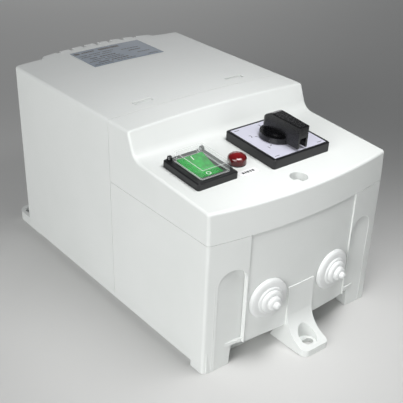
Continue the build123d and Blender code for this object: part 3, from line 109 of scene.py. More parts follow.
# The floor's half width and its drop below the feet, in metres.
FLOOR_HALF = 40.0
FLOOR_DROP = 0.2 * MM

# Each light's name, place, aim and size in metres, power in watts and spread in degrees.
LIGHTS = (
    ("panel_softbox", (0.02, -0.20, 0.44), (0, -0.13, 0.10), (0.22, 0.14), 0.33, 85),
    ("left_softbox", (-0.95, -0.45, 0.42), (0, -0.05, 0.08), (0.7, 0.6), 9.0, 180),
    ("front_fill", (0.25, -1.3, 0.30), (0, -0.12, 0.08), (0.7, 0.4), 1.1, 180),
    ("rear_fill", (0.7, 1.2, 0.45), (0, 0.05, 0.1), (0.9, 0.6), 2.6, 180),
)
ROOM_COLOUR = (0.90, 0.93, 0.96, 1)
ROOM_STRENGTH = 0.14

PLASTIC_GREY = (0.735, 0.755, 0.74, 1)
SCREW_GREY = (0.74, 0.75, 0.74, 1)


# ---------------------------------------------------------------- shader groups
def new_group(name, inputs, outputs):
    """An empty shader group with named inputs (name, type, default) and outputs (name, type)."""
    tree = bpy.data.node_groups.new(name, "ShaderNodeTree")
    for label, kind, default in inputs:
        socket = tree.interface.new_socket(name=label, in_out="INPUT", socket_type=kind)
        socket.default_value = default
    for label, kind in outputs:
        tree.interface.new_socket(name=label, in_out="OUTPUT", socket_type=kind)
    return tree, tree.nodes.new("NodeGroupInput"), tree.nodes.new("NodeGroupOutput")


def add(tree, kind, settings=None, **values):
    """A node with its properties in settings and its input defaults in values."""
    node = tree.nodes.new(kind)
    for key, value in (settings or {}).items():
        setattr(node, key, value)
    for key, value in values.items():
        node.inputs[key.replace("_", " ")].default_value = value
    return node


def maths(tree, operation, a, b=0.5, clamp=False):
    """A Math node; a and b are sockets or numbers."""
    node = tree.nodes.new("ShaderNodeMath")
    node.operation = operation
    node.use_clamp = clamp
    for socket, value in zip(node.inputs, (a, b)):
        if isinstance(value, bpy.types.NodeSocket):
            tree.links.new(value, socket)
        else:
            socket.default_value = value
    return node.outputs[0]


def blend_colour(tree, mask, first, second):
    """first where the mask is 0, second where it is 1."""
    node = tree.nodes.new("ShaderNodeMix")
    node.data_type = "RGBA"
    for socket, value in ((node.inputs[0], mask), (node.inputs[6], first), (node.inputs[7], second)):
        if isinstance(value, bpy.types.NodeSocket):
            tree.links.new(value, socket)
        else:
            socket.default_value = value
    return node.outputs[2]


def object_place(tree):
    return tree.nodes.new("ShaderNodeTexCoord").outputs["Object"]


def make_grain_group():
    """Spark-eroded mould grain: a fine bump with a soft, broad unevenness under it."""
    tree, given, out = new_group(
        "mould_grain",
        [("Place", "NodeSocketVector", (0, 0, 0)), ("Scale", "NodeSocketFloat", 1400.0),
         ("Depth", "NodeSocketFloat", 0.1)],
        [("Normal", "NodeSocketVector"), ("Mask", "NodeSocketFloat")],
    )
    link = tree.links.new
    fine = add(tree, "ShaderNodeTexNoise", Detail=2.0, Roughness=0.6)
    link(given.outputs["Place"], fine.inputs["Vector"])
    link(given.outputs["Scale"], fine.inputs["Scale"])
    broad = add(tree, "ShaderNodeTexNoise", Scale=45.0, Detail=1.0)
    link(given.outputs["Place"], broad.inputs["Vector"])
    height = maths(tree, "ADD", fine.outputs["Fac"], maths(tree, "MULTIPLY", broad.outputs["Fac"], 2.0))
    bump = add(tree, "ShaderNodeBump", Distance=0.00012)
    link(given.outputs["Depth"], bump.inputs["Strength"])
    link(height, bump.inputs["Height"])
    link(bump.outputs["Normal"], out.inputs["Normal"])
    link(fine.outputs["Fac"], out.inputs["Mask"])
    return tree


def make_cloud_group():
    """Broad, faint clouding of a colour, with a few darker handling marks."""
    tree, given, out = new_group(
        "clouding",
        [("Place", "NodeSocketVector", (0, 0, 0)), ("Scale", "NodeSocketFloat", 18.0),
         ("Amount", "NodeSocketFloat", 0.5)],
        [("Mask", "NodeSocketFloat")],
    )
    link = tree.links.new
    clouds = add(tree, "ShaderNodeTexNoise", Detail=4.0, Roughness=0.55, Distortion=0.4)
    link(given.outputs["Place"], clouds.inputs["Vector"])
    link(given.outputs["Scale"], clouds.inputs["Scale"])
    spread = maths(tree, "MULTIPLY", maths(tree, "SUBTRACT", clouds.outputs["Fac"], 0.42), 3.0, clamp=True)
    link(maths(tree, "MULTIPLY", spread, given.outputs["Amount"]), out.inputs["Mask"])
    return tree


def make_dust_group():
    """Settled dust: a broken film on faces that look up."""
    tree, given, out = new_group(
        "settled_dust",
        [("Place", "NodeSocketVector", (0, 0, 0)), ("Amount", "NodeSocketFloat", 0.3)],
        [("Mask", "NodeSocketFloat")],
    )
    link = tree.links.new
    normal = tree.nodes.new("ShaderNodeNewGeometry").outputs["Normal"]
    turn = tree.nodes.new("ShaderNodeVectorTransform")
    turn.vector_type = "NORMAL"
    turn.convert_from = "WORLD"
    turn.convert_to = "OBJECT"
    link(normal, turn.inputs[0])
    axes = tree.nodes.new("ShaderNodeSeparateXYZ")
    link(turn.outputs[0], axes.inputs[0])
    specks = add(tree, "ShaderNodeTexNoise", Scale=260.0, Detail=5.0, Roughness=0.7)
    link(given.outputs["Place"], specks.inputs["Vector"])
    film = maths(tree, "MULTIPLY", maths(tree, "SUBTRACT", specks.outputs["Fac"], 0.5), 5.0, clamp=True)
    upward = maths(tree, "MULTIPLY", maths(tree, "SUBTRACT", axes.outputs["Z"], 0.6), 2.5, clamp=True)
    both = maths(tree, "MULTIPLY", film, upward)
    link(maths(tree, "MULTIPLY", both, given.outputs["Amount"]), out.inputs["Mask"])
    return tree


def make_edge_group():
    """Corners made a little smoother and painted lighter than the flats beside them: a painted highlight where a
    rounded edge catches light.
    """
    tree, given, out = new_group(
        "painted_edge_highlight",
        [("Width", "NodeSocketFloat", 0.0008), ("Amount", "NodeSocketFloat", 0.6)],
        [("Mask", "NodeSocketFloat")],
    )
    link = tree.links.new
    soft = tree.nodes.new("ShaderNodeBevel")
    soft.samples = 4
    link(given.outputs["Width"], soft.inputs["Radius"])
    flat = tree.nodes.new("ShaderNodeNewGeometry").outputs["Normal"]
    alike = tree.nodes.new("ShaderNodeVectorMath")
    alike.operation = "DOT_PRODUCT"
    link(soft.outputs["Normal"], alike.inputs[0])
    link(flat, alike.inputs[1])
    corner = maths(tree, "MULTIPLY", maths(tree, "SUBTRACT", 1.0, alike.outputs["Value"]), 6.0, clamp=True)
    link(maths(tree, "MULTIPLY", corner, given.outputs["Amount"]), out.inputs["Mask"])
    return tree


def make_brushed_group():
    """Fine lines along X, as rolling or brushing leaves them."""
    tree, given, out = new_group(
        "brushed_lines",
        [("Place", "NodeSocketVector", (0, 0, 0)), ("Fineness", "NodeSocketFloat", 900.0),
         ("Depth", "NodeSocketFloat", 0.2)],
        [("Normal", "NodeSocketVector"), ("Mask", "NodeSocketFloat")],
    )
    link = tree.links.new
    stretch = tree.nodes.new("ShaderNodeMapping")
    stretch.inputs["Scale"].default_value = (0.04, 1.0, 1.0)
    link(given.outputs["Place"], stretch.inputs["Vector"])
    lines = add(tree, "ShaderNodeTexNoise", Detail=3.0, Roughness=0.65)
    link(stretch.outputs[0], lines.inputs["Vector"])
    link(given.outputs["Fineness"], lines.inputs["Scale"])
    bump = add(tree, "ShaderNodeBump", Distance=0.00008)
    link(given.outputs["Depth"], bump.inputs["Strength"])
    link(lines.outputs["Fac"], bump.inputs["Height"])
    link(bump.outputs["Normal"], out.inputs["Normal"])
    link(lines.outputs["Fac"], out.inputs["Mask"])
    return tree


def make_sheet_stack_group():
    """Edges of thin sheets stacked along Y."""
    tree, given, out = new_group(
        "stacked_sheets",
        [("Place", "NodeSocketVector", (0, 0, 0)), ("Sheets per metre", "NodeSocketFloat", 1000.0)],
        [("Normal", "NodeSocketVector"), ("Mask", "NodeSocketFloat")],
    )
    link = tree.links.new
    axes = tree.nodes.new("ShaderNodeSeparateXYZ")
    link(given.outputs["Place"], axes.inputs[0])
    count = maths(tree, "MULTIPLY", axes.outputs["Y"], given.outputs["Sheets per metre"])
    ramp = maths(tree, "PINGPONG", count, 0.5)
    edge = maths(tree, "MULTIPLY", ramp, 5.0, clamp=True)
    bump = add(tree, "ShaderNodeBump", Strength=0.7, Distance=0.0002)
    link(edge, bump.inputs["Height"])
    link(bump.outputs["Normal"], out.inputs["Normal"])
    link(edge, out.inputs["Mask"])
    return tree


GRAIN = make_grain_group()
CLOUDS = make_cloud_group()
DUST = make_dust_group()
EDGE_HIGHLIGHT = make_edge_group()
BRUSHED = make_brushed_group()
SHEETS = make_sheet_stack_group()


def use(tree, group, **values):
    """Places a shader group in a material, with its values and the surface's own coordinates."""
    node = tree.nodes.new("ShaderNodeGroup")
    node.node_tree = group
    for key, value in values.items():
        node.inputs[key.replace("_", " ")].default_value = value
    if "Place" in node.inputs:
        tree.links.new(object_place(tree), node.inputs["Place"])
    return node.outputs


# ---------------------------------------------------------------- materials
def start(name):
    material = bpy.data.materials.new(name)
    material.use_nodes = True
    tree = material.node_tree
    return material, tree, tree.nodes["Principled BSDF"], tree.links.new


def moulded(name, colour, shade, roughness, grain=0.1, scale=1400.0, edge=0.35, dust=0.0, edge_highlight_tint=None):
    """Moulded plastic: mould grain, faint clouding, corners painted lighter as a painted highlight and made a
    little smoother, and, where asked, dust.
    """
    material, tree, shader, link = start(name)
    texture = use(tree, GRAIN, Scale=scale, Depth=grain)
    clouds = use(tree, CLOUDS, Amount=0.7)["Mask"]
    base = blend_colour(tree, clouds, colour, shade)
    # Corners painted lighter: a painted highlight along every edge.
    lighter = edge_highlight_tint or tuple(min(1.0, c * 1.18 + 0.012) for c in colour[:3]) + (1,)
    corners = use(tree, EDGE_HIGHLIGHT, Amount=edge)["Mask"]
    base = blend_colour(tree, corners, base, lighter)
    if dust:
        film = use(tree, DUST, Amount=dust)["Mask"]
        base = blend_colour(tree, film, base, (0.62, 0.60, 0.56, 1))
    link(base, shader.inputs["Base Color"])
    rough = maths(tree, "ADD", maths(tree, "MULTIPLY", texture["Mask"], 0.14), roughness - 0.07)
    rough = maths(tree, "SUBTRACT", rough, maths(tree, "MULTIPLY", corners, 0.08))
    link(rough, shader.inputs["Roughness"])
    link(texture["Normal"], shader.inputs["Normal"])
    return material


def metal(name, colour, dark, roughness, depth=0.2, metallic=1.0, fineness=900.0):
    """Plated or rolled metal with fine lines, duller patches and corners painted brighter as a painted highlight.
    """
    material, tree, shader, link = start(name)
    lines = use(tree, BRUSHED, Fineness=fineness, Depth=depth)
    clouds = use(tree, CLOUDS, Scale=70.0, Amount=0.8)["Mask"]
    base = blend_colour(tree, clouds, colour, dark)
    # Corners painted brighter: a painted highlight along the edges.
    corners = use(tree, EDGE_HIGHLIGHT, Width=0.0004, Amount=0.5)["Mask"]
    bright = tuple(min(1.0, c * 1.25) for c in colour[:3]) + (1,)
    link(blend_colour(tree, corners, base, bright), shader.inputs["Base Color"])
    shader.inputs["Metallic"].default_value = metallic
    rough = maths(tree, "ADD", maths(tree, "MULTIPLY", lines["Mask"], 0.25), roughness - 0.12)
    link(rough, shader.inputs["Roughness"])
    link(lines["Normal"], shader.inputs["Normal"])
    return material


def soft_rubber(name, colour, shade, roughness=0.55):
    """Rubber or soft vinyl: matt, with a slight bloom."""
    material, tree, shader, link = start(name)
    texture = use(tree, GRAIN, Scale=900.0, Depth=0.12)
    clouds = use(tree, CLOUDS, Scale=60.0, Amount=0.8)["Mask"]
    link(blend_colour(tree, clouds, colour, shade), shader.inputs["Base Color"])
    link(maths(tree, "ADD", maths(tree, "MULTIPLY", texture["Mask"], 0.2), roughness - 0.1),
         shader.inputs["Roughness"])
    link(texture["Normal"], shader.inputs["Normal"])
    shader.inputs["Sheen Weight"].default_value = 0.15
    return material


def laminated_steel():
    """Varnished transformer sheet, with the edge of each sheet showing."""
    material, tree, shader, link = start("laminated_steel")
    sheets = use(tree, SHEETS)
    clouds = use(tree, CLOUDS, Scale=40.0, Amount=0.9)["Mask"]
    base = blend_colour(tree, sheets["Mask"], (0.055, 0.052, 0.05, 1), (0.24, 0.24, 0.25, 1))
    link(blend_colour(tree, clouds, base, (0.16, 0.11, 0.07, 1)), shader.inputs["Base Color"])
    polish = maths(tree, "MULTIPLY", sheets["Mask"], 0.2)
    link(maths(tree, "SUBTRACT", 0.6, polish), shader.inputs["Roughness"])
    shader.inputs["Metallic"].default_value = 0.75
    link(sheets["Normal"], shader.inputs["Normal"])
    return material


def enamelled_wire():
    """Copper wire under amber enamel."""
    material, tree, shader, link = start("enamelled_wire")
    clouds = use(tree, CLOUDS, Scale=55.0, Amount=1.0)["Mask"]
    base = blend_colour(tree, clouds, (0.58, 0.17, 0.055, 1), (0.38, 0.085, 0.03, 1))
    link(base, shader.inputs["Base Color"])
    link(maths(tree, "ADD", maths(tree, "MULTIPLY", clouds, 0.15), 0.22), shader.inputs["Roughness"])
    shader.inputs["Metallic"].default_value = 0.9
    shader.inputs["Coat Weight"].default_value = 0.6
    shader.inputs["Coat Roughness"].default_value = 0.12
    shader.inputs["Coat Tint"].default_value = (1.0, 0.72, 0.42, 1)
    return material


def clear_lid():
    """Clear moulded lid: seen through face on, with fine scuffs; painted reflection whitens it at glancing angles
    and a painted highlight whitens its edges.
    """
    material, tree, shader, link = start("clear_lid")
    scuffs = use(tree, BRUSHED, Fineness=1500.0, Depth=0.03)
    corners = use(tree, EDGE_HIGHLIGHT, Width=0.0009, Amount=1.0)["Mask"]
    link(blend_colour(tree, scuffs["Mask"], (0.86, 0.89, 0.88, 1), (0.74, 0.77, 0.76, 1)),
         shader.inputs["Base Color"])
    # Painted reflection: the lid is made more opaque and white where it is seen at a glancing angle, and a painted
    # highlight whitens its edges.
    glancing = tree.nodes.new("ShaderNodeLayerWeight")
    glancing.inputs["Blend"].default_value = 0.35
    painted_sheen = maths(tree, "MULTIPLY", glancing.outputs["Facing"], 0.16)
    painted_sheen = maths(tree, "ADD", painted_sheen, maths(tree, "MULTIPLY", corners, 0.70), clamp=True)
    link(painted_sheen, shader.inputs["Alpha"])
    link(maths(tree, "ADD", maths(tree, "MULTIPLY", scuffs["Mask"], 0.1), 0.04), shader.inputs["Roughness"])
    shader.inputs["Specular IOR Level"].default_value = 0.35
    link(scuffs["Normal"], shader.inputs["Normal"])
    return material


def lit_green():
    """Translucent green rocker with its lamp glowing behind it, brightest at the middle."""
    material, tree, shader, link = start("lit_green")
    place = object_place(tree)
    offset = tree.nodes.new("ShaderNodeVectorMath")
    offset.operation = "DISTANCE"
    link(place, offset.inputs[0])
    offset.inputs[1].default_value = ROCKER_PIVOT + PANEL_UP * 3 * MM
    glow = maths(tree, "SUBTRACT", 1.0, maths(tree, "MULTIPLY", offset.outputs["Value"], 70.0), clamp=True)
    cells = add(tree, "ShaderNodeTexVoronoi", {"feature": "F1"}, Scale=330.0)
    link(place, cells.inputs["Vector"])
    # Painted sparkle: base colour bright at the middle of each small cell and darker towards its edge.
    sparkle = maths(tree, "MULTIPLY", cells.outputs["Distance"], 0.9, clamp=True)
    base = blend_colour(tree, sparkle, (0.0, 0.34, 0.035, 1), (0.0, 0.08, 0.008, 1))
    link(base, shader.inputs["Base Color"])
    lamp = blend_colour(tree, glow, (0.0, 0.05, 0.003, 1), (0.002, 0.36, 0.03, 1))
    link(lamp, shader.inputs["Emission Color"])
    shader.inputs["Emission Strength"].default_value = 0.55
    shader.inputs["Roughness"].default_value = 0.16
    shader.inputs["Coat Weight"].default_value = 0.5
    bump = add(tree, "ShaderNodeBump", Strength=0.35, Distance=0.0006)
    link(cells.outputs["Distance"], bump.inputs["Height"])
    link(bump.outputs["Normal"], shader.inputs["Normal"])
    return material


def red_lens():
    """Deep red glossy lens, with painted shade darkening it towards its rim, where the lamp's glow is also weaker.
    """
    material, tree, shader, link = start("red_lens")
    lens_low, lens_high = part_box("lamp_lens")
    middle = (lens_low + lens_high) / 2
    away = tree.nodes.new("ShaderNodeVectorMath")
    away.operation = "DISTANCE"
    link(object_place(tree), away.inputs[0])
    away.inputs[1].default_value = middle + PANEL_UP * 3 * MM
    # Base colour darker towards the rim: painted shade; the lamp's glow also fades towards the rim.
    rim = maths(tree, "MULTIPLY", away.outputs["Value"], 130.0, clamp=True)
    base = blend_colour(tree, rim, (0.20, 0.003, 0.005, 1), (0.07, 0.001, 0.002, 1))
    link(base, shader.inputs["Base Color"])
    lamp = blend_colour(tree, rim, (0.06, 0.0, 0.0, 1), (0.006, 0.0, 0.0, 1))
    link(lamp, shader.inputs["Emission Color"])
    shader.inputs["Emission Strength"].default_value = 0.4
    link(maths(tree, "ADD", maths(tree, "MULTIPLY", rim, 0.1), 0.1), shader.inputs["Roughness"])
    shader.inputs["Coat Weight"].default_value = 0.4
    shader.inputs["Coat Roughness"].default_value = 0.05
    return material


def printed_foil(name, colour, shade, metallic):
    """Satin label film with faint brushing."""
    material, tree, shader, link = start(name)
    lines = use(tree, BRUSHED, Fineness=1600.0, Depth=0.06)
    clouds = use(tree, CLOUDS, Scale=90.0, Amount=0.6)["Mask"]
    base = blend_colour(tree, clouds, colour, shade)
    streaks = maths(tree, "MULTIPLY", lines["Mask"], 0.25)
    link(blend_colour(tree, streaks, base, shade), shader.inputs["Base Color"])
    shader.inputs["Metallic"].default_value = metallic
    link(maths(tree, "ADD", maths(tree, "MULTIPLY", lines["Mask"], 0.2), 0.28), shader.inputs["Roughness"])
    link(lines["Normal"], shader.inputs["Normal"])
    return material


def ink(name, colour, worn):
    """Screen-printed ink, thinner in places."""
    material, tree, shader, link = start(name)
    clouds = use(tree, CLOUDS, Scale=420.0, Amount=0.8)["Mask"]
    link(blend_colour(tree, clouds, colour, worn), shader.inputs["Base Color"])
    link(maths(tree, "ADD", maths(tree, "MULTIPLY", clouds, 0.2), 0.4), shader.inputs["Roughness"])
    return material


# The edge tint given to a material is the colour of the painted highlight along its corners.
MATERIALS = {
    "housing": moulded("housing_plastic", PLASTIC_GREY, (0.70, 0.725, 0.705, 1), 0.42, grain=0.10,
                       edge=0.5, edge_highlight_tint=(0.90, 0.91, 0.90, 1)),
    "inner_plastic": moulded("inner_plastic", (0.50, 0.50, 0.47, 1), (0.42, 0.42, 0.40, 1), 0.5, dust=0.4),
    "seal_rubber": soft_rubber("seal_rubber", (0.035, 0.035, 0.037, 1), (0.06, 0.06, 0.058, 1), 0.7),
    "zinc_steel": metal("zinc_steel", (0.60, 0.61, 0.63, 1), (0.48, 0.48, 0.46, 1), 0.36),
    "screw_plastic": moulded("screw_plastic", SCREW_GREY, (0.66, 0.67, 0.66, 1), 0.4),
    "grommet_rubber": soft_rubber("grommet_rubber", (0.72, 0.735, 0.73, 1), (0.66, 0.675, 0.67, 1), 0.5),
    "label_foil": printed_foil("label_foil", (0.13, 0.18, 0.24, 1), (0.10, 0.14, 0.195, 1), 0.05),
    "label_paper": printed_foil("label_paper", (0.86, 0.87, 0.87, 1), (0.80, 0.81, 0.81, 1), 0.0),
    "core_steel": laminated_steel(),
    "bobbin_plastic": moulded("bobbin_plastic", (0.42, 0.33, 0.17, 1), (0.33, 0.25, 0.12, 1), 0.5,
                              dust=0.3),
    "winding_copper": enamelled_wire(),
    "tape": moulded("winding_tape", (0.62, 0.42, 0.05, 1), (0.50, 0.33, 0.04, 1), 0.3, scale=600.0),
    "tinned_brass": metal("tinned_brass", (0.66, 0.63, 0.55, 1), (0.52, 0.49, 0.40, 1), 0.34),
    "terminal_plastic": moulded("terminal_plastic", (0.40, 0.41, 0.40, 1), (0.33, 0.34, 0.33, 1), 0.45,
                                dust=0.25),
    "earth_plastic": moulded("earth_plastic", (0.16, 0.38, 0.04, 1), (0.42, 0.46, 0.03, 1), 0.42,
                             dust=0.25),
    "brass": metal("brass_bar", (0.72, 0.50, 0.18, 1), (0.52, 0.35, 0.13, 1), 0.32),
    "black_plastic": moulded("black_plastic", (0.004, 0.004, 0.005, 1), (0.007, 0.007, 0.008, 1), 0.34,
                             grain=0.16, scale=1100.0, edge=0.4, dust=0.01,
                             edge_highlight_tint=(0.045, 0.045, 0.05, 1)),
    "contactor_plastic": moulded("contactor_plastic", (0.16, 0.16, 0.155, 1), (0.12, 0.12, 0.12, 1), 0.45,
                                 dust=0.2),
    "silver": metal("silver_contact", (0.80, 0.79, 0.75, 1), (0.52, 0.49, 0.42, 1), 0.3, depth=0.1),
    "wire_insulation": soft_rubber("wire_insulation", (0.015, 0.03, 0.16, 1), (0.02, 0.04, 0.2, 1), 0.42),
    "legend_foil": printed_foil("legend_foil", (0.66, 0.66, 0.76, 1), (0.60, 0.60, 0.70, 1), 0.15),
    "red_lens": red_lens(),
    "knob_plastic": moulded("knob_plastic", (0.002, 0.002, 0.0025, 1), (0.004, 0.004, 0.0045, 1), 0.26,
                            grain=0.14, scale=1200.0, edge=0.3, dust=0.006,
                            edge_highlight_tint=(0.03, 0.03, 0.033, 1)),
    "green_rocker": lit_green(),
    "clear_plastic": clear_lid(),
}
BLACK_INK = ink("black_ink", (0.012, 0.012, 0.014, 1), (0.05, 0.05, 0.055, 1))
WHITE_INK = ink("white_ink", (0.75, 0.80, 0.75, 1), (0.60, 0.68, 0.60, 1))

for subpart in frame["record"]["subparts"]:
    mesh = NODES[subpart["node"]].data
    mesh.materials.clear()
    mesh.materials.append(MATERIALS[subpart["material_slot"]])


# ---------------------------------------------------------------- mesh helpers
def to_piece(name, mesh, body, material):
    """A finished piece from a mesh whose place is already in it."""
    mesh.materials.clear()
    mesh.materials.append(material)
    piece = bpy.data.objects.new(name, mesh)
    bpy.context.scene.collection.objects.link(piece)
    if body:
        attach(piece, body)
    return piece


def joined(name, meshes):
    """One mesh from several; the parts are removed."""
    whole = bmesh.new()
    for mesh in meshes:
        whole.from_mesh(mesh)
        bpy.data.meshes.remove(mesh)
    result = bpy.data.meshes.new(name)
    whole.to_mesh(result)
    whole.free()
    return result


def flat_mesh(outline, thickness, place):
    """A thin plate from an outline in its own plane, moved to its place."""
    made = bmesh.new()
    low = [made.verts.new((x, y, 0)) for x, y in outline]
    high = [made.verts.new((x, y, thickness)) for x, y in outline]
    made.faces.new(list(reversed(low)))
    made.faces.new(high)
    for i in range(len(outline)):
        after = (i + 1) % len(outline)
        made.faces.new((low[i], low[after], high[after], high[i]))
    mesh = bpy.data.meshes.new("plate")
    made.to_mesh(mesh)
    made.free()
    mesh.transform(place)
    return mesh


def bar(width, height, thickness, place):
    half_w, half_h = width / 2, height / 2
    outline = [(-half_w, -half_h), (half_w, -half_h), (half_w, half_h), (-half_w, half_h)]
    return flat_mesh(outline, thickness, place)


def lettering(text, size, thickness, place):
    """Raised characters in the built-in font, centred on their place."""
    curve = bpy.data.curves.new("lettering", "FONT")
    curve.body = text
    curve.size = size
    curve.extrude = thickness / 2
    curve.align_x = "CENTER"
    curve.align_y = "CENTER"
    curve.resolution_u = 4
    holder = bpy.data.objects.new("lettering", curve)
    bpy.context.scene.collection.objects.link(holder)
    mesh = bpy.data.meshes.new_from_object(holder.evaluated_get(bpy.context.evaluated_depsgraph_get()))
    bpy.data.objects.remove(holder)
    bpy.data.curves.remove(curve)
    mesh.transform(place)
    return mesh


def plane_at(origin, x_axis, y_axis):
    """The matrix of a plane with these axes; its third axis stands on it."""
    x, y = Vector(x_axis).normalized(), Vector(y_axis).normalized()
    matrix = Matrix((x, y, x.cross(y))).transposed().to_4x4()
    matrix.translation = origin
    return matrix


def on_surface(node, ray_from, direction):
    """The first point of a CAD node that a ray meets."""
    mesh = NODES[node].data
    tree = BVHTree.FromPolygons([v.co for v in mesh.vertices], [p.vertices for p in mesh.polygons])
    return tree.ray_cast(Vector(ray_from), Vector(direction))[0]


# ---------------------------------------------------------------- geometry node trees
def geometry_tree(name, inputs):
    """An empty geometry tree with named number inputs, and the function that adds its nodes."""
    tree = bpy.data.node_groups.new(name, "GeometryNodeTree")
    identifiers = {}
    for label, kind in inputs:
        socket = tree.interface.new_socket(name=label, in_out="INPUT", socket_type=kind)
        identifiers[label] = socket.identifier
    tree.interface.new_socket(name="Geometry", in_out="OUTPUT", socket_type="NodeSocketGeometry")
    return tree, identifiers, tree.nodes.new("NodeGroupInput"), tree.nodes.new("NodeGroupOutput")


def grown(name, tree, identifiers, values):
    """The plain mesh that a geometry tree makes with these values."""
    holder = bpy.data.objects.new(name, bpy.data.meshes.new(name))
    bpy.context.scene.collection.objects.link(holder)
    modifier = holder.modifiers.new("grow", "NODES")
    modifier.node_group = tree
    for label, value in values.items():
        modifier[identifiers[label]] = value
    bpy.context.view_layer.update()
    mesh = bpy.data.meshes.new_from_object(holder.evaluated_get(bpy.context.evaluated_depsgraph_get()))
    bpy.data.objects.remove(holder)
    return mesh


def winding_tree(material):
    """Rounded rectangular turns of round wire, stacked along Z."""
    tree, identifiers, given, out = geometry_tree("wound_turns", [
        ("Width", "NodeSocketFloat"), ("Depth", "NodeSocketFloat"), ("Corner", "NodeSocketFloat"),
        ("Wire", "NodeSocketFloat"), ("Turns", "NodeSocketInt"), ("Start", "NodeSocketVector"),
        ("Lay", "NodeSocketFloat"), ("Corner steps", "NodeSocketInt"),
    ])
    link = tree.links.new
    loop = tree.nodes.new("GeometryNodeCurvePrimitiveQuadrilateral")
    link(given.outputs["Width"], loop.inputs["Width"])
    link(given.outputs["Depth"], loop.inputs["Height"])
    rounded = tree.nodes.new("GeometryNodeFilletCurve")
    rounded.mode = "POLY"
    link(loop.outputs[0], rounded.inputs["Curve"])
    link(given.outputs["Corner"], rounded.inputs["Radius"])
    link(given.outputs["Corner steps"], rounded.inputs["Count"])
    section = tree.nodes.new("GeometryNodeCurvePrimitiveCircle")
    section.inputs["Resolution"].default_value = 10
    link(maths(tree, "MULTIPLY", given.outputs["Wire"], 0.5), section.inputs["Radius"])
    tube = tree.nodes.new("GeometryNodeCurveToMesh")
    link(rounded.outputs[0], tube.inputs["Curve"])
    link(section.outputs[0], tube.inputs["Profile Curve"])
    stack = tree.nodes.new("GeometryNodeMeshLine")
    link(given.outputs["Turns"], stack.inputs["Count"])
    link(given.outputs["Start"], stack.inputs["Start Location"])
    rise = tree.nodes.new("ShaderNodeCombineXYZ")
    link(given.outputs["Lay"], rise.inputs["Z"])
    link(rise.outputs[0], stack.inputs["Offset"])
    copies = tree.nodes.new("GeometryNodeInstanceOnPoints")
    link(stack.outputs[0], copies.inputs["Points"])
    link(tube.outputs[0], copies.inputs["Instance"])
    solid = tree.nodes.new("GeometryNodeRealizeInstances")
    link(copies.outputs[0], solid.inputs[0])
    painted = tree.nodes.new("GeometryNodeSetMaterial")
    painted.inputs["Material"].default_value = material
    link(solid.outputs[0], painted.inputs["Geometry"])
    smooth = tree.nodes.new("GeometryNodeSetShadeSmooth")
    link(painted.outputs[0], smooth.inputs[0])
    link(smooth.outputs[0], out.inputs[0])
    return tree, identifiers


# ---------------------------------------------------------------- camera
def make_camera():
    """The view: in front, to the left and above."""
    data = bpy.data.cameras.new("view")
    data.lens = VIEW_LENS_MM
    data.sensor_width = VIEW_FILM_MM
    data.clip_start = 10 * MM
    camera = bpy.data.objects.new("view", data)
    bpy.context.scene.collection.objects.link(camera)
    matrix = Matrix((VIEW_RIGHT, -VIEW_DOWN, -VIEW_FORWARD)).transposed().to_4x4()
    matrix.translation = VIEW_PLACE
    camera.matrix_world = matrix
    bpy.context.scene.camera = camera


make_camera()


# ---------------------------------------------------------------- prints
def switch_legend_print():
    """Position digits and ticks round the knob, clockwise from the front."""
    inside = KNOB_CENTRE + UP_SLOPE * 20 * MM + PANEL_UP * 60 * MM
    top = on_surface("switch_legend", inside, -PANEL_UP)
    height = (top - KNOB_CENTRE).dot(PANEL_UP)
    marks = []
    for i in range(POSITIONS):
        angle = i * STEP_ANGLE
        outward = -ACROSS * sin(angle) - UP_SLOPE * cos(angle)
        level = KNOB_CENTRE + PANEL_UP * (height + PRINT_LIFT)
        place = plane_at(level + outward * DIGIT_RADIUS, ACROSS, UP_SLOPE)
        marks.append(lettering(str(i), DIGIT_HEIGHT, PRINT_LIFT, place))
        tick_middle = level + outward * (TICK_INNER + TICK_OUTER) / 2
        tick_place = plane_at(tick_middle, outward, PANEL_UP.cross(outward))
        marks.append(bar(TICK_OUTER - TICK_INNER, TICK_WIDTH, PRINT_LIFT / 2, tick_place))
    for side in (-1, 1):
        for end in (-1, 1):
            corner = KNOB_CENTRE + ACROSS * side * CORNER_BAR_ACROSS + UP_SLOPE * end * CORNER_BAR_UP
            place = plane_at(corner + PANEL_UP * (height + PRINT_LIFT / 2), ACROSS, UP_SLOPE)
            marks.append(bar(*CORNER_BAR, PRINT_LIFT / 2, place))
    to_piece("switch_legend_print", joined("switch_legend_print", marks), "cover", BLACK_INK)


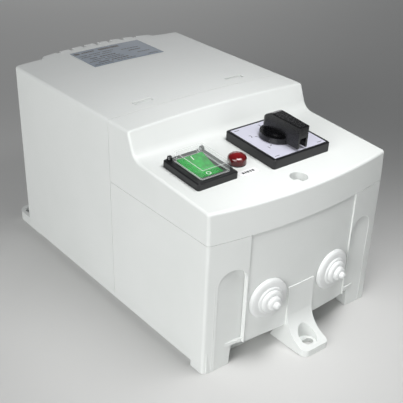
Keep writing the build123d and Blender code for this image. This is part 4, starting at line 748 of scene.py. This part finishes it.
def rating_label_print():
    """Rows of plain bars on the roof label, in place of printed lines."""
    low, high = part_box("rating_label")
    width, depth = high.x - low.x, high.y - low.y
    rows = [
        # height on the label, bar height, and each bar's start and end across it
        (0.87, 0.060, [(0.02, 0.09), (0.12, 0.30), (0.36, 0.66)]),
        (0.87, 0.100, [(0.02, 0.08), (0.37, 0.52), (0.545, 0.66)]),
        (0.70, 0.030, [(0.03, 0.14), (0.17, 0.33), (0.36, 0.52)]),
        (0.60, 0.030, [(0.03, 0.17), (0.20, 0.29), (0.32, 0.46), (0.60, 0.86)]),
        (0.47, 0.045, [(0.10, 0.20), (0.24, 0.47), (0.66, 0.84)]),
        (0.37, 0.030, [(0.10, 0.28), (0.31, 0.50)]),
        (0.28, 0.030, [(0.03, 0.19), (0.24, 0.52), (0.72, 0.90)]),
        (0.18, 0.045, [(0.12, 0.27), (0.30, 0.55)]),
        (0.08, 0.030, [(0.03, 0.30), (0.34, 0.62), (0.80, 0.95)]),
    ]
    marks = []
    for level, thick, bars in rows:
        y = low.y + level * depth
        for first, last in bars:
            step = (last - first) / BARS_PER_RUN
            for i in range(BARS_PER_RUN):
                x0 = low.x + (first + i * step) * width
                x1 = x0 + step * width * BAR_FILL
                a = on_surface("rating_label", (x0, y, 1.0), (0, 0, -1))
                b = on_surface("rating_label", (x1, y, 1.0), (0, 0, -1))
                lift = Vector((0, 0, PRINT_LIFT))
                place = plane_at((a + b) / 2 + lift, b - a, (0, 1, 0))
                marks.append(bar(x1 - x0, thick * depth, PRINT_LIFT / 2, place))
    to_piece("rating_label_print", joined("rating_label_print", marks), "enclosure", BLACK_INK)


def lamp_label_print():
    """A short row of bars on the strip beside the lamp."""
    low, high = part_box("lamp_label")
    middle = (low + high) / 2
    top = on_surface("lamp_label", middle + PANEL_UP * RAY_START, -PANEL_UP)
    marks = []
    x = -sum(LAMP_BARS_MM) / 2 - LAMP_BAR_GAP_MM / 2 * (len(LAMP_BARS_MM) - 1)
    for width in LAMP_BARS_MM:
        place = plane_at(top + ACROSS * (x + width / 2) * MM + PANEL_UP * PRINT_LIFT, ACROSS, UP_SLOPE)
        marks.append(bar(width * MM, LAMP_BAR_HEIGHT, PRINT_LIFT / 2, place))
        x += width + LAMP_BAR_GAP_MM
    to_piece("lamp_label_print", joined("lamp_label_print", marks), "cover", BLACK_INK)


def ring_mesh(place):
    """A thin flat ring with a square section."""
    ring = bmesh.new()
    angles = [2 * pi * i / RING_STEPS for i in range(RING_STEPS)]
    outer = [(RING_RADIUS * cos(angle), RING_RADIUS * sin(angle)) for angle in angles]
    inner = [(x * RING_HOLE, y * RING_HOLE) for x, y in outer]
    section = ((outer, 0), (outer, PRINT_LIFT), (inner, PRINT_LIFT), (inner, 0))
    rings = [[ring.verts.new((x, y, z)) for x, y in line] for line, z in section]
    for i in range(RING_STEPS):
        after = (i + 1) % RING_STEPS
        for k in range(len(rings)):
            one, two = rings[k], rings[(k + 1) % len(rings)]
            ring.faces.new((one[i], one[after], two[after], two[i]))
    bmesh.ops.recalc_face_normals(ring, faces=ring.faces)
    mesh = bpy.data.meshes.new("ring")
    ring.to_mesh(mesh)
    ring.free()
    mesh.transform(place)
    return mesh


def rocker_marks():
    """An open ring and a bar, printed on the two ends of the rocker."""
    marks = []
    for end in (-1, 1):
        start_point = ROCKER_PIVOT + UP_SLOPE * end * MARK_FROM_PIVOT + PANEL_UP * RAY_START
        here = on_surface("rocker_button", start_point, -PANEL_UP)
        beside = on_surface("rocker_button", start_point + UP_SLOPE * MM, -PANEL_UP)
        along = (beside - here).normalized()
        up = ACROSS.cross(along)
        place = plane_at(here + up * PRINT_LIFT, ACROSS, along)
        if end < 0:
            marks.append(ring_mesh(place))
        else:
            marks.append(bar(*ON_BAR, PRINT_LIFT, place))
    to_piece("rocker_marks", joined("rocker_marks", marks), "rocker", WHITE_INK)


switch_legend_print()
rating_label_print()
lamp_label_print()
rocker_marks()


# ---------------------------------------------------------------- windings
def coil_turns():
    """The transformer winding and the contactor coil, turn by turn."""
    tree, identifiers = winding_tree(MATERIALS["winding_copper"])
    for name, node, wire, corner, steps in (
        ("coil_turns", "coil_winding", COIL_WIRE, CORNER_RADIUS["coil_turns"], 6),
        ("contactor_coil_turns", "contactor_coil", CONTACTOR_WIRE, CORNER_RADIUS["contactor_coil_turns"], 4),
    ):
        low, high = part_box(node)
        size = high - low
        turns = int(size.z / wire)
        lay = size.z / turns
        middle = (low + high) / 2
        mesh = grown(name, tree, identifiers, {
            "Width": size.x - wire, "Depth": size.y - wire, "Corner": corner, "Wire": wire,
            "Turns": turns, "Start": (middle.x, middle.y, low.z + lay / 2), "Lay": lay,
            "Corner steps": steps,
        })
        piece = to_piece(name, mesh, "enclosure", MATERIALS["winding_copper"])
        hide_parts(node)


coil_turns()


# ---------------------------------------------------------------- leads between case and cover
TAP_ROUTE = [
    (0.0, 24.0, 100.0), (0.0, 10.0, 108.5), (0.0, -6.0, 115.0), (0.0, -24.0, 120.0),
    (18.0, -36.0, 117.0), (40.0, -46.0, 106.0), (48.0, -62.0, 96.0),
]
PANEL_ROUTE = [
    (-34.0, -12.0, 60.0), (-36.0, -16.4, 80.0), (-42.0, -24.0, 98.0), (-46.0, -42.0, 105.0),
    (-38.0, -60.0, 92.0), (-30.0, -72.0, 90.0),
]
LEAD_COLOURS = {
    "black": (0.012, 0.012, 0.013, 1),
    "brown": (0.12, 0.035, 0.012, 1),
    "grey": (0.26, 0.27, 0.28, 1),
    "blue": (0.015, 0.06, 0.38, 1),
    "red": (0.45, 0.012, 0.012, 1),
    "white": (0.70, 0.70, 0.68, 1),
    "violet": (0.16, 0.035, 0.28, 1),
}


def lead(name, route, offsets, radius, material):
    """One insulated wire beside the bundle's own line, as a mesh."""
    curve = bpy.data.curves.new(name, "CURVE")
    curve.dimensions = "3D"
    curve.bevel_depth = radius
    curve.bevel_resolution = 3
    curve.use_fill_caps = True
    spline = curve.splines.new("NURBS")
    spline.points.add(len(route) - 1)
    for point, place, (aside, above) in zip(spline.points, route, offsets):
        point.co = ((place[0] + aside) * MM, place[1] * MM, (place[2] + above) * MM, 1.0)
    spline.order_u = 3
    spline.use_endpoint_u = True
    spline.resolution_u = 10
    holder = bpy.data.objects.new(name, curve)
    bpy.context.scene.collection.objects.link(holder)
    mesh = bpy.data.meshes.new_from_object(holder.evaluated_get(bpy.context.evaluated_depsgraph_get()))
    bpy.data.objects.remove(holder)
    bpy.data.curves.remove(curve)
    piece = to_piece(name, mesh, None, material)
    for face in mesh.polygons:
        face.use_smooth = True
    return piece


def make_leads(prefix, node, route, spread, colours):
    """A loom of wires round its line, each in its own colour."""
    for i, colour in enumerate(colours):
        name = f"{prefix}_{colour}"
        shade = tuple(c * 1.4 + 0.01 for c in LEAD_COLOURS[colour][:3]) + (1,)
        material = soft_rubber("vinyl_" + name, LEAD_COLOURS[colour], shade, 0.4)
        angle = 2 * pi * i / (len(colours) - 1)
        out = spread if i else 0.0
        offsets = [(out * cos(angle + 0.5 * k), out * sin(angle + 0.5 * k)) for k in range(len(route))]
        piece = lead(name, route, offsets, LEAD_RADIUS, material)
        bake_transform(piece)
        if i == 0:
            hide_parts(node)


make_leads("tap_lead", "tap_loom", TAP_ROUTE, TAP_SPREAD_MM, list(LEAD_COLOURS))
make_leads("panel_lead", "panel_loom", PANEL_ROUTE, PANEL_SPREAD_MM, ["black", "brown", "blue", "grey"])


# ---------------------------------------------------------------- studio
def floor_paint(name, colour, roughness):
    """Matt paint with faint clouding."""
    material, tree, shader, link = start(name)
    clouds = use(tree, CLOUDS, Scale=3.0, Amount=0.5)["Mask"]
    shade = tuple(c * 0.97 for c in colour[:3]) + (1,)
    link(blend_colour(tree, clouds, colour, shade), shader.inputs["Base Color"])
    shader.inputs["Roughness"].default_value = roughness
    return material


def make_floor():
    """A pale floor that runs far past the view."""
    made = bmesh.new()
    turns = ((-1, -1), (1, -1), (1, 1), (-1, 1))
    corners = [made.verts.new((x * FLOOR_HALF, y * FLOOR_HALF, -FLOOR_DROP)) for x, y in turns]
    made.faces.new(corners)
    mesh = bpy.data.meshes.new("floor")
    made.to_mesh(mesh)
    made.free()
    mesh.materials.append(floor_paint("floor_paint", (0.62, 0.62, 0.61, 1), 0.75))
    floor = bpy.data.objects.new("floor", mesh)
    bpy.context.scene.collection.objects.link(floor)


def area_light(name, place, target, size, power, spread):
    """A rectangular light aimed at a point."""
    data = bpy.data.lights.new(name, "AREA")
    data.shape = "RECTANGLE"
    data.size, data.size_y = size
    data.energy = power
    data.spread = radians(spread)
    light = bpy.data.objects.new(name, data)
    bpy.context.scene.collection.objects.link(light)
    light.location = place
    light.rotation_mode = "QUATERNION"
    light.rotation_quaternion = (Vector(target) - Vector(place)).to_track_quat("-Z", "Y")


def make_lights():
    """A soft light over the panel, a large one at the left, weak ones front and rear, and a pale room."""
    world = bpy.data.worlds.new("room")
    bpy.context.scene.world = world
    world.use_nodes = True
    background = world.node_tree.nodes["Background"]
    background.inputs["Color"].default_value = ROOM_COLOUR
    background.inputs["Strength"].default_value = ROOM_STRENGTH
    for light in LIGHTS:
        area_light(*light)


make_floor()
make_lights()
bpy.context.scene.view_settings.view_transform = "Standard"
